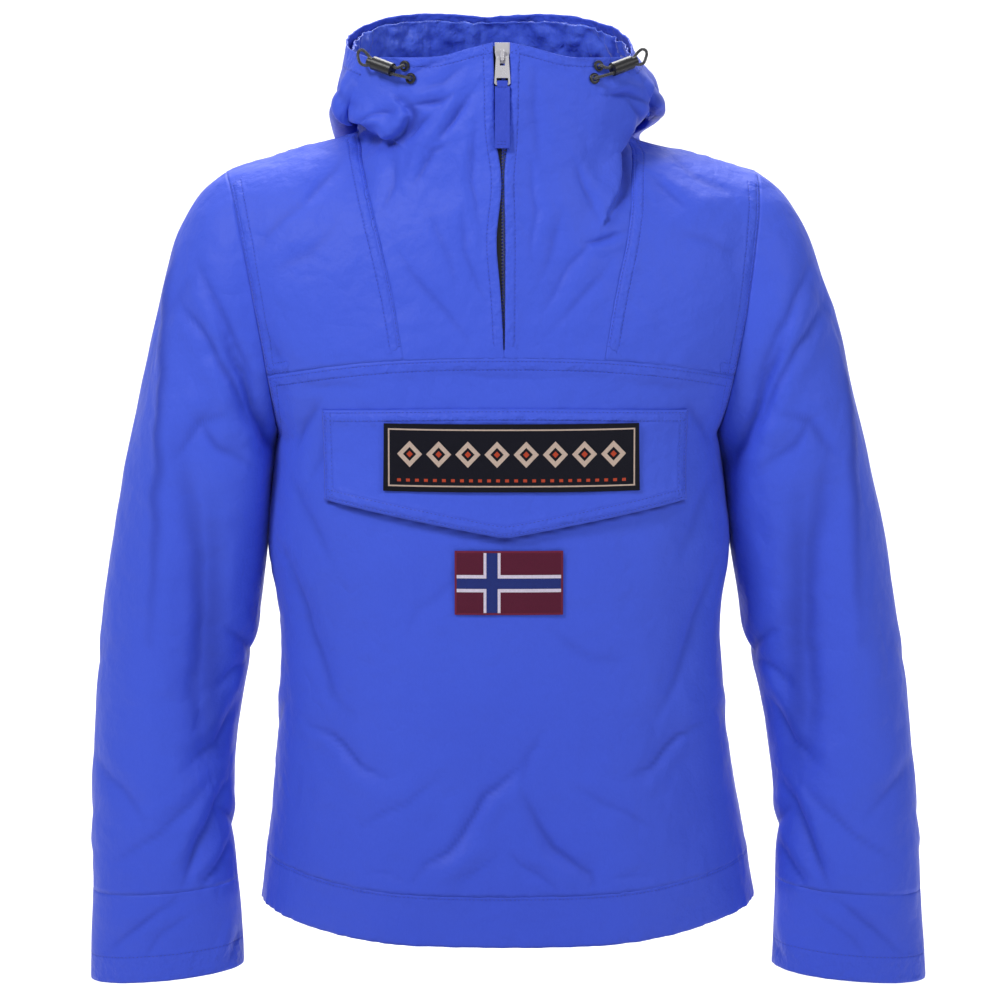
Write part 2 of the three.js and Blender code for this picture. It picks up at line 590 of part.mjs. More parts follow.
addPanel("front_lower", frontLower());
addPanel("back", back());
addPanel("hem_band", hemBand(), { wrap: true });
addPanel("yoke_left", yoke(chestRow));
addPanel("yoke_right", onRight(yoke(chestRow)));
addPanel("inset_left", inset(chestRow, "left"));
addPanel("inset_right", onRight(inset(chestRow, "right")));
addPanel("hood_left", hood(), { kind: "hood" });
addPanel("hood_right", onRight(hood()), { kind: "hood" });
addPanel("sleeve_left", sleeve(), { wrap: true, kind: "sleeve" });
addPanel("sleeve_right", onRight(sleeve()), { wrap: true, kind: "sleeve", side: -1 });
addPanel("cuff_left", cuff(), { wrap: true, kind: "cuff" });
addPanel("cuff_right", onRight(cuff()), { wrap: true, kind: "cuff", side: -1 });

// Which way a grid's cells face out: 1, or -1 where its rows and columns turn the other way
const keyOf = (p) => [p.x, p.y, p.z].map((v) => Math.round(v * 10)).join();

function outwardSign(panel) {
  const { rows, wrap } = panel;
  const own = panel.kind === "sleeve" || panel.kind === "cuff";
  let score = 0;
  for (let j = 0; j < rows.length - 1; j += 1) {
    const middle = new THREE.Vector3();
    if (own) rows[j].forEach((p) => middle.addScaledVector(p, 1 / rows[j].length));
    for (let i = 0; i < rows[j].length - (wrap ? 0 : 1); i += 1) {
      const next = (i + 1) % rows[j].length;
      const across = rows[j][next].clone().sub(rows[j][i]);
      const normal = across.cross(rows[j + 1][i].clone().sub(rows[j][i]));
      const out = rows[j][i].clone().sub(middle);
      out.z = 0;
      score += normal.dot(out);
    }
  }
  return Math.sign(score);
}

// A hood faces out where its cloth comes back up to the face edge.
for (const panel of panels.values()) {
  const half = panel.kind === "hood" ? { ...panel, rows: panel.rows.slice(HOOD_ROWS / 2) } : panel;
  panel.sign = outwardSign(half);
}

// Normals at each panel's points, averaged with the neighbours that meet there.
function findNormals() {
  const shared = new Map();
  for (const panel of panels.values()) {
    const { rows, wrap, sign } = panel;
    panel.own = rows.map((row) => row.map(() => new THREE.Vector3()));
    for (let j = 0; j < rows.length - 1; j += 1) {
      for (let i = 0; i < rows[j].length - (wrap ? 0 : 1); i += 1) {
        const next = (i + 1) % rows[j].length;
        const one = rows[j + 1][next].clone().sub(rows[j][i]);
        const other = rows[j + 1][i].clone().sub(rows[j][next]);
        const normal = one.cross(other).multiplyScalar(sign);
        const corners = [[j, i], [j, next], [j + 1, i], [j + 1, next]];
        corners.forEach(([row, column]) => panel.own[row][column].add(normal));
      }
    }
    rows.forEach((row, j) =>
      row.forEach((p, i) => {
        const key = keyOf(p);
        if (!shared.has(key)) shared.set(key, new THREE.Vector3());
        shared.get(key).add(panel.own[j][i]);
      }),
    );
  }
  for (const panel of panels.values()) {
    panel.normals = panel.rows.map((row, j) =>
      row.map((p, i) => {
        const own = panel.own[j][i].clone().normalize();
        const both = shared.get(keyOf(p)).clone().normalize();
        return both.dot(own) > 0.6 ? both : own;
      }),
    );
  }
}

// Folds and waves fade out at the armhole and at the hood's seams, so that the panels still meet.
function shaped(panel, p, normal, j) {
  if (panel.kind === "hood") return p;
  const moved = p.clone();
  if (panel.kind === "body") {
    const nearSleeve = smoothstep(Math.abs(p.x), 178, 196);
    const inUpper = smoothstep(p.z, ARMPIT_Z - 40, ARMPIT_Z + 10);
    const calm = (1 - nearSleeve * inUpper) * (1 - smoothstep(p.z, -24, -4));
    moved.addScaledVector(normal, calm * foldDepth(BODY_FOLDS, p, normal, 1) + waveHeight(p));
  }
  if (panel.kind === "sleeve") {
    const fade = smoothstep(j, 0, 4) * (1 - smoothstep(j, SLEEVE_ROWS - 3, SLEEVE_ROWS));
    moved.addScaledVector(normal, fade * foldDepth(SLEEVE_FOLDS, p, normal, panel.side));
  }
  return moved;
}

findNormals();
for (const panel of panels.values()) {
  panel.rows = panel.rows.map((row, j) =>
    row.map((p, i) => leaned(shaped(panel, p, panel.normals[j][i], j))),
  );
}
findNormals();

// Draws the panel's open edges in by half a seam's gap.
function trimmed(panel) {
  const { rows, wrap } = panel;
  const last = rows.length - 1;
  const toward = (p, q) => p.clone().add(q.clone().sub(p).setLength(SEAM_GAP / 2));
  const out = rows.map((row) => row.map((p) => p.clone()));
  rows[0].forEach((p, i) => (out[0][i] = toward(p, rows[1][i])));
  rows[last].forEach((p, i) => (out[last][i] = toward(p, rows[last - 1][i])));
  if (!wrap) {
    out.forEach((row) => {
      const end = row.length - 1;
      row[0] = toward(row[0], row[1]);
      row[end] = toward(row[end], row[end - 1]);
    });
  }
  return out;
}

// A closed wall between two layers of points in rows.
function wallBetween(outer, inner, wrap = false) {
  const rows = outer.length;
  const columns = outer[0].length;
  const positions = [outer, inner].flatMap((layer) => layer.flatMap((row) => row.flatMap((p) => p.toArray())));
  const faces = [];
  const at = (layer, j, i) => layer * rows * columns + j * columns + (i % columns);
  const quad = (a, b, c, d) => faces.push(a, b, c, a, c, d);
  const cells = wrap ? columns : columns - 1;
  for (let j = 0; j < rows - 1; j += 1) {
    for (let i = 0; i < cells; i += 1) {
      quad(at(0, j, i), at(0, j, i + 1), at(0, j + 1, i + 1), at(0, j + 1, i));
      quad(at(1, j, i), at(1, j + 1, i), at(1, j + 1, i + 1), at(1, j, i + 1));
    }
    if (!wrap) {
      quad(at(0, j, 0), at(0, j + 1, 0), at(1, j + 1, 0), at(1, j, 0));
      quad(at(0, j, cells), at(1, j, cells), at(1, j + 1, cells), at(0, j + 1, cells));
    }
  }
  for (let i = 0; i < cells; i += 1) {
    quad(at(0, 0, i), at(1, 0, i), at(1, 0, i + 1), at(0, 0, i + 1));
    quad(at(0, rows - 1, i), at(0, rows - 1, i + 1), at(1, rows - 1, i + 1), at(1, rows - 1, i));
  }
  return facingOut(positions, faces);
}

// Turns a closed mesh's faces outwards.
function facingOut(positions, faces) {
  const corner = (k) => new THREE.Vector3().fromArray(positions, faces[k] * 3);
  let volume = 0;
  for (let k = 0; k < faces.length; k += 3) volume += corner(k).dot(corner(k + 1).cross(corner(k + 2)));
  if (volume < 0) faces.reverse();
  const geometry = new THREE.BufferGeometry();
  geometry.setAttribute("position", new THREE.Float32BufferAttribute(positions, 3));
  geometry.setIndex(faces);
  geometry.computeVertexNormals();
  return geometry;
}

const offsetRows = (rows, normals, distance) =>
  rows.map((row, j) => row.map((p, i) => p.clone().addScaledVector(normals[j][i], distance)));

function panelWall(panel) {
  const rows = trimmed(panel);
  return wallBetween(rows, offsetRows(rows, panel.normals, -CLOTH), panel.wrap);
}

// The hood's lining runs from near one toggle round the back to the other, inside the face edge.
function liningWall() {
  const cut = (name) => {
    const { rows, normals } = panels.get(name);
    const part = (grid) => grid.slice(LINING_FROM_ROW, HOOD_ROWS).map((row) => row.slice(LINING_FROM_COLUMN));
    return [part(rows), part(normals)];
  };
  const [leftRows, leftNormals] = cut("hood_left");
  const [rightRows, rightNormals] = cut("hood_right");
  const joined = (one, other) => one.map((row, j) => [...row, ...other[j].slice(0, -1).reverse()]);
  const rows = joined(leftRows, rightRows);
  const normals = joined(leftNormals, rightNormals);
  const outer = offsetRows(rows, normals, -(CLOTH + LAID_GAP));
  return wallBetween(outer, offsetRows(rows, normals, -(CLOTH + LAID_GAP + LINING)));
}

// A point of a panel between its grid lines, with the direction that faces out there.
function onPanel(panel, row, column) {
  const j = Math.min(Math.floor(row), panel.rows.length - 2);
  const i = Math.min(Math.floor(column), panel.rows[0].length - 2);
  const mix = (grid) => {
    const low = grid[j][i].clone().lerp(grid[j][i + 1], column - i);
    return low.lerp(grid[j + 1][i].clone().lerp(grid[j + 1][i + 1], column - i), row - j);
  };
  return [mix(panel.rows), mix(panel.normals).normalize()];
}

// The point of the lower front that shows at x and z when seen from the front.
function onFront(x, z) {
  const panel = panels.get("front_lower");
  let row = panel.rows.length / 2;
  let column = panel.rows[0].length / 2;
  for (let pass = 0; pass < 12; pass += 1) {
    const [p] = onPanel(panel, row, column);
    const [q] = onPanel(panel, row, Math.min(column + 0.01, panel.rows[0].length - 1.01));
    const [r] = onPanel(panel, Math.min(row + 0.01, panel.rows.length - 1.01), column);
    column = clamp(column + ((x - p.x) * 0.01) / (q.x - p.x), 0, panel.rows[0].length - 1.02);
    row = clamp(row + ((z - p.z) * 0.01) / (r.z - p.z), 0, panel.rows.length - 1.02);
  }
  return onPanel(panel, row, column);
}

// Something sewn onto the lower front: its outline from the front, how far off it starts, and its cloth.
function laidOn(outline, columns, rowCount, liftAt, cloth) {
  const under = [];
  const over = [];
  evenShares(0, 1, rowCount).forEach((t) => {
    const found = evenShares(0, 1, columns).map((s) => {
      const [x, z] = outline(s, t);
      return onFront(x, z);
    });
    under.push(found.map(([p, n], i) => p.clone().addScaledVector(n, liftAt(i / columns, t))));
    over.push(found.map(([p, n], i) => p.clone().addScaledVector(n, liftAt(i / columns, t) + cloth)));
  });
  return wallBetween(over, under);
}

function flapOutline(s, t) {
  const across = 2 * s - 1;
  const x = across * lerp(FLAP.halfTop, FLAP.halfBottom, t);
  const top = FLAP.topZ - FLAP.topDip * across * across;
  const bottom = lerp(FLAP.tipZ, FLAP.cornerZ, Math.abs(across));
  return [x, lerp(top, bottom, t)];
}

const flapLift = (t) => LAID_GAP + FLAP_LIFT * t ** 2.2;

// How far down the flap a height is, at a place across the front.
function downFlap(x, z) {
  const across = x / FLAP.halfTop;
  const top = FLAP.topZ - FLAP.topDip * across * across;
  const bottom = lerp(FLAP.tipZ, FLAP.cornerZ, Math.abs(across));
  return clamp((z - top) / (bottom - top), 0, 1);
}

const patchOutline = (patch) => (s, t) => [lerp(patch.left, patch.right, s), lerp(patch.top, patch.bottom, t)];

const flapWall = () => laidOn(flapOutline, FLAP_COLUMNS, FLAP_ROWS, (s, t) => flapLift(t), FLAP_CLOTH);

function labelWall() {
  const outline = patchOutline(LABEL);
  const lift = (s, t) => flapLift(downFlap(...outline(s, t))) + FLAP_CLOTH + LAID_GAP;
  return laidOn(outline, PATCH_COLUMNS, PATCH_ROWS, lift, LABEL.cloth);
}

const flagWall = () => laidOn(patchOutline(FLAG), PATCH_COLUMNS, PATCH_ROWS, () => LAID_GAP, FLAG.cloth);

// Depth of the front at the zip's height
const frontY = (z) => read(MIDDLE_FRONT, "z", "y", z);

function tapeWall(side) {
  const heights = evenShares(TAPE.bottomZ, TAPE.topZ, TAPE.rows);
  const layer = (depth) =>
    heights.map((z) =>
      [TAPE.inner, TAPE.outer].map((x) => leaned(new THREE.Vector3(side * x, frontY(z) + depth, z))),
    );
  const near = CLOTH + TAPE_GAP;
  return wallBetween(layer(near), layer(near + TAPE.cloth));
}

// Solids to cut and join
function solid(geometry) {
  const bare = geometry.clone();
  for (const name of Object.keys(bare.attributes)) if (name !== "position") bare.deleteAttribute(name);
  const merged = mergeVertices(bare, 1e-4);
  const mesh = { numProp: 3, vertProperties: merged.attributes.position.array, triVerts: merged.index.array };
  mesh.triVerts = new Uint32Array(mesh.triVerts);
  return new wasm.Manifold(new wasm.Mesh(mesh));
}

function geometryOf(made) {
  const mesh = made.getMesh();
  const geometry = new THREE.BufferGeometry();
  geometry.setAttribute("position", new THREE.BufferAttribute(new Float32Array(mesh.vertProperties), 3));
  geometry.setIndex(new THREE.BufferAttribute(new Uint32Array(mesh.triVerts), 1));
  return geometry;
}

const box = (x, y, z, at = [0, 0, 0]) => solid(new THREE.BoxGeometry(x, y, z).translate(...at));
const rod = (radius, length, at, sides = 12) =>
  solid(new THREE.CylinderGeometry(radius, radius, length, sides).rotateZ(Math.PI / 2).translate(...at));

// A plate seen from the front, centred in depth on y = 0, from its outline of x and z points.
function plate(points, thickness, at = 0) {
  const shape = new THREE.Shape(points.map(([x, z]) => new THREE.Vector2(x, z)));
  const geometry = new THREE.ExtrudeGeometry(shape, { depth: thickness, bevelEnabled: false });
  return solid(geometry.translate(0, 0, -thickness / 2).rotateX(Math.PI / 2).translate(0, at, 0));
}

function shield(width, neck, height) {
  const half = height / 2;
  return [
    [-width / 2, half], [-width / 2, half * 0.1], [-neck / 2, -half],
    [neck / 2, -half], [width / 2, half * 0.1], [width / 2, half],
  ];
}

// The slider: two plates joined by a post between the tapes, and the bridge that holds the pull.
function sliderGeometry() {
  const frontPlate = -SLIDER.space / 2 - SLIDER.plate / 2;
  const body = plate(shield(SLIDER.width, SLIDER.neck, SLIDER.height), SLIDER.plate, frontPlate)
    .add(plate(shield(SLIDER.width - 1.4, SLIDER.neck, SLIDER.height - 2), SLIDER.plate, -frontPlate))
    .add(box(SLIDER.post, SLIDER.space + 0.4, 6, [0, 0, 4.5]));
  const face = frontPlate - SLIDER.plate / 2;
  const arch = box(BRIDGE.width, BRIDGE.reach, BRIDGE.height, [0, face - BRIDGE.reach / 2 + 0.1, -2]);
  const opening = box(BRIDGE.width + 1, BRIDGE.reach - BRIDGE.bar, BRIDGE.height - 2 * BRIDGE.bar, [
    0, face - (BRIDGE.reach - BRIDGE.bar) / 2 + 0.1, -2,
  ]);
  return geometryOf(body.add(arch.subtract(opening)));
}

// The pull tab hangs from its pin, which is the hinge and lies at its own origin.
function pullGeometry() {
  const half = PULL.plate / 2;
  const tab = plate([
    [-PULL.top / 2, 0], [-PULL.bottom / 2, -PULL.length + 1.5], [-PULL.bottom / 2 + 1.5, -PULL.length],
    [PULL.bottom / 2 - 1.5, -PULL.length], [PULL.bottom / 2, -PULL.length + 1.5], [PULL.top / 2, 0],
  ], PULL.plate);
  const armGap = BRIDGE.width + 1.4;
  const window = box(armGap, PULL.plate * 3, 2 * PULL.window, [0, 0, 0]);
  const slot = box(PULL.slot, PULL.plate * 3, 3.6, [0, 0, -PULL.length + 4]);
  const pin = rod(PULL.pin, armGap + 1, [0, 0, 0]);
  const rim = rod(half + 0.25, PULL.top, [0, 0, 0]).subtract(rod(half + 2, armGap, [0, 0, 0]));
  return geometryOf(tab.subtract(window).subtract(slot).add(rim).add(pin));
}

// The strap is a folded length of cloth that loops round the tab's lowest bar.
function strapGeometry() {
  const bar = -PULL.length + 1.1;
  const reach = PULL.plate / 2 + 0.4;
  const outer = reach + STRAP.cloth;
  const top = bar + 1.1 + 0.4;
  const loopWidth = PULL.slot - 0.9;
  const whole = box(loopWidth, 2 * outer, top + STRAP.cloth - bar + 3, [0, 0, (top + STRAP.cloth + bar - 3) / 2]);
  const hollow = box(loopWidth + 1, 2 * reach, top - bar + 1.6, [0, 0, (top + bar - 1.6) / 2]);
  const bodyTop = bar - 2.2;
  const body = box(STRAP.width, 2 * outer - 0.6, STRAP.length, [0, 0, bodyTop - STRAP.length / 2]);
  return geometryOf(whole.subtract(hollow).add(body));
}

// Turns things that are built along +Z so that they point along a direction.
function aimed(direction) {
  return new THREE.Quaternion().setFromUnitVectors(new THREE.Vector3(0, 0, 1), direction.clone().normalize());
}

function eyeletGeometry() {
  const { outer, inner, height } = EYELET;
  const profile = [[inner, 0], [outer, 0], [outer, height * 0.4], [outer - 1, height], [inner, height], [inner, 0]];
  const ring = new THREE.LatheGeometry(profile.map(([r, z]) => new THREE.Vector2(r, z)), EYELET.sides);
  return geometryOf(solid(ring.rotateX(Math.PI / 2)));
}

// A barrel lock with two bores side by side, built along +Z with its bores apart in X.
function lockGeometry() {
  const along = (radius, length, x, z) =>
    solid(new THREE.CylinderGeometry(radius, radius, length, LOCK.sides).rotateX(Math.PI / 2).translate(x, 0, z));
  const barrel = along(LOCK.radius, LOCK.length, 0, 0);
  const button = along(LOCK.button, LOCK.buttonLength, 0, LOCK.length / 2 + LOCK.buttonLength / 2 - 0.1);
  const bores = [-1, 1].map((side) => along(LOCK.bore, 3 * LOCK.length, side * LOCK.spread, 0));
  return geometryOf(barrel.add(button).subtract(bores[0]).subtract(bores[1]));
}

// Where one side's eyelets, lock and cord lie. side is 1 on the left and -1 on the right.
function drawcordPlaces(side) {
  const panel = panels.get(side > 0 ? "inset_left" : "inset_right");
  const eyelets = EYELET_PLACES.map(({ row, column }) => onPanel(panel, row, column));
  const [lower, upper] = eyelets.map(([p, n]) => p.clone().addScaledVector(n, 0.4));
  const start = lower.clone().lerp(upper, 0.25);
  const out = eyelets[0][1].clone().add(eyelets[1][1]).normalize();
  const away = new THREE.Vector3(side * 0.7, 0.5, 0.26).normalize();
  const along = away.clone().addScaledVector(out, -0.55 * away.dot(out)).normalize();
  const centre = start.clone().addScaledVector(along, 22).addScaledVector(out, 8.5);
  const spreadWay = upper.clone().sub(lower);
  spreadWay.addScaledVector(along, -spreadWay.dot(along)).normalize();
  return { eyelets, along, centre, spreadWay };
}

function lockMesh(places) {
  const { along, spreadWay, centre } = places;
  const turned = new THREE.Matrix4().makeBasis(spreadWay, along.clone().cross(spreadWay), along);
  return lockGeometry().applyMatrix4(turned.setPosition(centre));
}

function cordGeometry(points) {
  const route = points.map((point) => new THREE.Vector3(...point));
  const path = new THREE.CatmullRomCurve3(route, false, "centripetal");
  const section = new THREE.Shape(
    evenShares(0, 2 * Math.PI, CORD_SIDES)
      .slice(1)
      .map((angle) => new THREE.Vector2(CORD_RADIUS * Math.cos(angle), CORD_RADIUS * Math.sin(angle))),
  );
  return new THREE.ExtrudeGeometry(section, { steps: CORD_STEPS, extrudePath: path, bevelEnabled: false });
}

// The scene graph
const anorak = new THREE.Group();

function add(parent, name, geometry, material) {
  const mesh = new THREE.Mesh(geometry, material);
  mesh.name = name;
  parent.add(mesh);
  return mesh;
}

for (const panel of panels.values()) add(anorak, panel.name, panelWall(panel), BLUE);
add(anorak, "hood_lining", liningWall(), SATIN);
add(anorak, "pocket_flap", flapWall(), BLUE);
add(anorak, "label_patch", labelWall(), PATCH_BLACK);
add(anorak, "flag_patch", flagWall(), PATCH_RED);
add(anorak, "zip_tape_left", tapeWall(1), TAPE_BLACK);
add(anorak, "zip_tape_right", tapeWall(-1), TAPE_BLACK);

// The slider and its pull lean back with the front
const zipHead = new THREE.Group();
const tapeMiddle = frontY(SLIDER_Z) + CLOTH + TAPE_GAP + TAPE.cloth / 2;
zipHead.position.copy(leaned(new THREE.Vector3(0, tapeMiddle, SLIDER_Z)));
zipHead.rotation.x = -PULL_TILT;
anorak.add(zipHead);
add(zipHead, "zip_slider", sliderGeometry(), STEEL);

const pull = new THREE.Group();
const sliderFace = -SLIDER.space / 2 - SLIDER.plate;
pull.position.set(0, sliderFace - (BRIDGE.reach - BRIDGE.bar) / 2, -3.4);
zipHead.add(pull);
add(pull, "zip_pull", pullGeometry(), STEEL);
add(pull, "pull_strap", strapGeometry(), BLUE);

for (const [name, side] of [["left", 1], ["right", -1]]) {
  const places = drawcordPlaces(side);
  places.eyelets.forEach(([p, n], i) => {
    const eyelet = add(anorak, `eyelet_${name}_${EYELET_PLACES[i].name}`, eyeletGeometry(), STEEL);
    eyelet.quaternion.copy(aimed(n));
    eyelet.position.copy(p).addScaledVector(n, EYELET.gap);
  });
  add(anorak, `cord_lock_${name}`, lockMesh(places), BLACK_PLASTIC);
  add(anorak, `drawcord_${name}`, cordGeometry(CORD_ROUTES[name]), CORD_BLACK);
}

export default anorak;
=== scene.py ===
# %% [markdown]
# # A pullover anorak, filled out as on a wearer
# The frame holds every cut piece of the garment as a plain wall in its worn shape. This lesson
# gives each of them the look of thin nylon: creases, puckered seams, stitches, and the small
# hard pieces of the zip and the drawcords. Lengths are written in millimetres.

# %% The frame and the tools
import math
from collections import namedtuple

import bmesh
import bpy
import numpy as np
from mathutils import Matrix, Vector, noise
from mathutils.bvhtree import BVHTree
from mathutils.kdtree import KDTree


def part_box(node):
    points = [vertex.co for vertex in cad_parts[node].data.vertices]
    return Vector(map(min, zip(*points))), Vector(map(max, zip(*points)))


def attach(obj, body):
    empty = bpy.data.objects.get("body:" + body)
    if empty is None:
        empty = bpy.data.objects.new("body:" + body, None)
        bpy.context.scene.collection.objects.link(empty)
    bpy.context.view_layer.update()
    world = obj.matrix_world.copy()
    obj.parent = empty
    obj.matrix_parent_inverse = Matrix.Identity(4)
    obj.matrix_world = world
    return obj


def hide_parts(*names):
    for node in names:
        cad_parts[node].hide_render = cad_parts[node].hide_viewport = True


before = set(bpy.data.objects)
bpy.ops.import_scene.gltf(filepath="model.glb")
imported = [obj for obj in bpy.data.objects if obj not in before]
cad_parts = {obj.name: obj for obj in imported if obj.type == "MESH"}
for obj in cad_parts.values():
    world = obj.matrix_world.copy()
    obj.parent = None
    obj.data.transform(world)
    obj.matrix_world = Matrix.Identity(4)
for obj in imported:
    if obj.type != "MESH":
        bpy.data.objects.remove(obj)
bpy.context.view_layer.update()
MM = 0.001


def shown(name, data):
    """A new object in the scene, at the origin."""
    made = bpy.data.objects.new(name, data)
    bpy.context.scene.collection.objects.link(made)
    return made


print("pieces in the frame:", len(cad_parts))

# %% [markdown]
# ## Camera
# The garment is seen from the front, a little from above and from about three metres. A long lens
# at that distance keeps the sleeves and the body at nearly one scale, as in a catalogue picture. The
# view is Standard, so that a strong blue stays as blue on the screen as it is in the cloth.

# %% Camera
CAMERA_AT = Vector((-4.2, -3000, 60)) * MM
CAMERA_DOWN = 7.0  # degrees below level
LENS = 128.7  # millimetres, in front of a full-frame sensor
SENSOR_WIDTH = 36

camera_data = bpy.data.cameras.new("camera")
camera_data.lens = LENS
camera_data.sensor_width = SENSOR_WIDTH
camera = shown("camera", camera_data)
camera.location = CAMERA_AT
camera.rotation_euler = (math.radians(90 - CAMERA_DOWN), 0, 0)
bpy.context.scene.camera = camera
bpy.context.scene.view_settings.view_transform = "Standard"
print("camera", tuple(round(v, 3) for v in camera.location))


# %% [markdown]
# ## Writing materials as formulas
# A material is a graph of nodes. Here a small class wraps one output of a node, so that a formula
# such as `1 - mask * 0.5` adds the Math nodes by itself, and one method adds any other node.

# %% Sockets that do arithmetic
class Value:
    """One output of a node, which does arithmetic."""

    def __init__(self, paint, socket):
        self.paint = paint
        self.socket = socket

    def math(self, operation, *others):
        inputs = dict(enumerate((self, *others)))
        return self.paint.node("ShaderNodeMath", {"operation": operation}, inputs)

    def __add__(self, other):
        return self.math("ADD", other)

    def __mul__(self, other):
        return self.math("MULTIPLY", other)

    def __sub__(self, other):
        return self.math("SUBTRACT", other)

    def __rsub__(self, other):
        return self.paint.node("ShaderNodeMath", {"operation": "SUBTRACT"}, {0: other, 1: self})

    __radd__ = __add__
    __rmul__ = __mul__

    def closer(self, centre, reach):
        """1 where the value lies within a reach of a centre, and 0 elsewhere."""
        return (self - centre).math("ABSOLUTE").math("LESS_THAN", reach)

    def bell(self, centre, width):
        """1 at the centre, falling off softly over the width."""
        away = (self - centre) * (1 / width)
        return (away * away * -1).math("EXPONENT")


class Paint:
    """One material: its shader, and the nodes that feed it."""

    def __init__(self, name, colour, roughness, **settings):
        self.material = bpy.data.materials.new(name)
        self.material.use_nodes = True
        self.nodes = self.material.node_tree.nodes
        self.links = self.material.node_tree.links
        self.shader = self.nodes["Principled BSDF"]
        self.shader.inputs["Base Color"].default_value = (*colour, 1)
        self.shader.inputs["Roughness"].default_value = roughness
        for socket, value in settings.items():
            self.shader.inputs[socket.replace("_", " ")].default_value = value

    def node(self, kind, settings=None, inputs=None, output=0):
        made = self.nodes.new(kind)
        for key, value in (settings or {}).items():
            setattr(made, key, value)
        for key, value in (inputs or {}).items():
            if isinstance(value, Value):
                self.links.new(value.socket, made.inputs[key])
            else:
                made.inputs[key].default_value = value
        return Value(self, made.outputs[output])

    def feed(self, socket, value):
        self.links.new(value.socket, self.shader.inputs[socket])

    def place(self, output="Object"):
        return self.node("ShaderNodeTexCoord", output=output)

    def noise(self, scale, detail=2.0, stretch=(1, 1, 1)):
        """Noise in object space; scale is in waves a metre, before any stretch."""
        spot = self.node("ShaderNodeMapping", inputs={"Vector": self.place(), "Scale": stretch})
        return self.node("ShaderNodeTexNoise", inputs={"Vector": spot, "Scale": scale, "Detail": detail})

    def attribute(self, name):
        return self.node("ShaderNodeAttribute", {"attribute_name": name}, output="Fac")

    def mix(self, factor, one, other):
        """One colour where the factor is 0, the other where it is 1."""
        settings = {"data_type": "RGBA", "clamp_factor": True}
        ends = [c if isinstance(c, Value) else (*c, 1) for c in (one, other)]
        return self.node("ShaderNodeMix", settings, {0: factor, 6: ends[0], 7: ends[1]}, output=2)

    def bump(self, *layers):
        """Bump from pairs of a height and its depth in millimetres."""
        normal = None
        for height, depth in layers:
            inputs = {"Height": height, "Distance": depth * MM, "Strength": 1.0}
            if normal:
                inputs["Normal"] = normal
            normal = self.node("ShaderNodeBump", inputs=inputs)
        self.feed("Normal", normal)
        return self


# %% [markdown]
# ## The finishes
# Nylon is a plain, tight weave with a slight sheen. Its blue varies in patches, and painted shade
# deepens it towards the hem. Painted shade also darkens it along a crease, under a tuck's lip and
# under the pocket flap's edge: the cloth pieces below carry that as the attribute `fold`. Each row
# of topstitching presses a shallow groove into the cloth, painted a little darker as shade, with
# small puckers between the rows. Both read the attribute `seam`, the distance to the stitched edge
# in millimetres. A painted image could hold all this, but formulas stay sharp at any distance.

# %% Nylon
BLUE = (0.052, 0.104, 0.68)
# The darker end of the random patches, and of the painted shade towards the hem and in the stitch grooves;
# also the strap's own blue.
DEEP_BLUE = (0.038, 0.076, 0.585)
# Painted shade for creases, tucks and the flap's edge; on the strap only the darker end of its random
# patches.
SHADE_AND_DARK_TONE_BLUE = (0.010, 0.020, 0.24)
STITCH_ROWS = (3.0, 10.0)  # distance of the two rows from the edge
ROW_WIDTH = 0.8
# FOLD_SHADE: the most painted crease shade that a crease takes.
FOLD_SHADE = 0.55  # how much of the crease colour a crease takes


def nylon(name, colour, deep, roughness):
    """Nylon that is patchy between two blues, with painted shade towards the hem, in its stitch grooves and
    along its creases, and with bump from waves of ripples down to its weave.
    """
    paint = Paint(name, colour, roughness, Sheen_Weight=0.07, Sheen_Roughness=0.5,
                  Specular_IOR_Level=0.22)
    patchy = paint.noise(9, 3)
    grain = paint.noise(900, 2, (1, 1, 0.35))
    seam = paint.attribute("seam")
    rows = seam.bell(STITCH_ROWS[0], ROW_WIDTH) + seam.bell(STITCH_ROWS[1], ROW_WIDTH)
    # Painted shade: low darkens the blue from 0.28 m below the shoulders down to the hem, and rows darkens
    # it along the stitch grooves as well as giving them bump.
    height = paint.node("ShaderNodeSeparateXYZ", inputs={0: paint.place()}, output=2)
    low = (height * -1.45 - 0.4).math("MAXIMUM", 0)  # grows from 0.28 m below the shoulders down
    tone = patchy * 0.5 + grain * 0.35 + rows * 0.3 + low - 0.22
    cloth = paint.mix(tone, colour, deep)
    # Painted shade: where the attribute fold is set, along creases, under a tuck's lip and under the pocket
    # flap's edge, the colour darkens towards the shade blue.
    paint.feed("Base Color", paint.mix(paint.attribute("fold") * FOLD_SHADE, cloth, SHADE_AND_DARK_TONE_BLUE))
    paint.feed("Roughness", patchy * 0.16 + (roughness - 0.08))
    crumple = paint.noise(55, 4)
    ripple = paint.noise(16, 2, (1, 1, 1.8))
    weave = paint.noise(2600, 1, (1, 1, 0.4))
    valleys = (paint.noise(15, 3, (1, 1, 0.8)) - 0.5).math("ABSOLUTE") * paint.noise(7, 1)
    puckers = paint.noise(170, 2) * seam.bell(sum(STITCH_ROWS) / 2, 6.0)
    folds = [(ripple, 2.4), (valleys, 11), (crumple, 2.1)]
    sewing_marks = [(puckers, 1.8), (rows, -0.28)]
    return paint.bump(*folds, *sewing_marks, (weave, 0.06)).material


shell_cloth = nylon("shell_nylon", BLUE, DEEP_BLUE, 0.56)
print("nylon", shell_cloth.name)

# %% [markdown]
# The hood's lining is a shinier cloth, crushed into sharp little creases, with painted highlights on
# their ridges and painted shade between them. One stretched noise gives both the colour and the bump,
# so that they agree.

# %% Satin
# Painted shade and painted highlight for the lining's crinkles.
SATIN_PAINTED_SHADE = (0.020, 0.050, 0.50)
SATIN_PAINTED_HIGHLIGHT = (0.13, 0.23, 0.95)


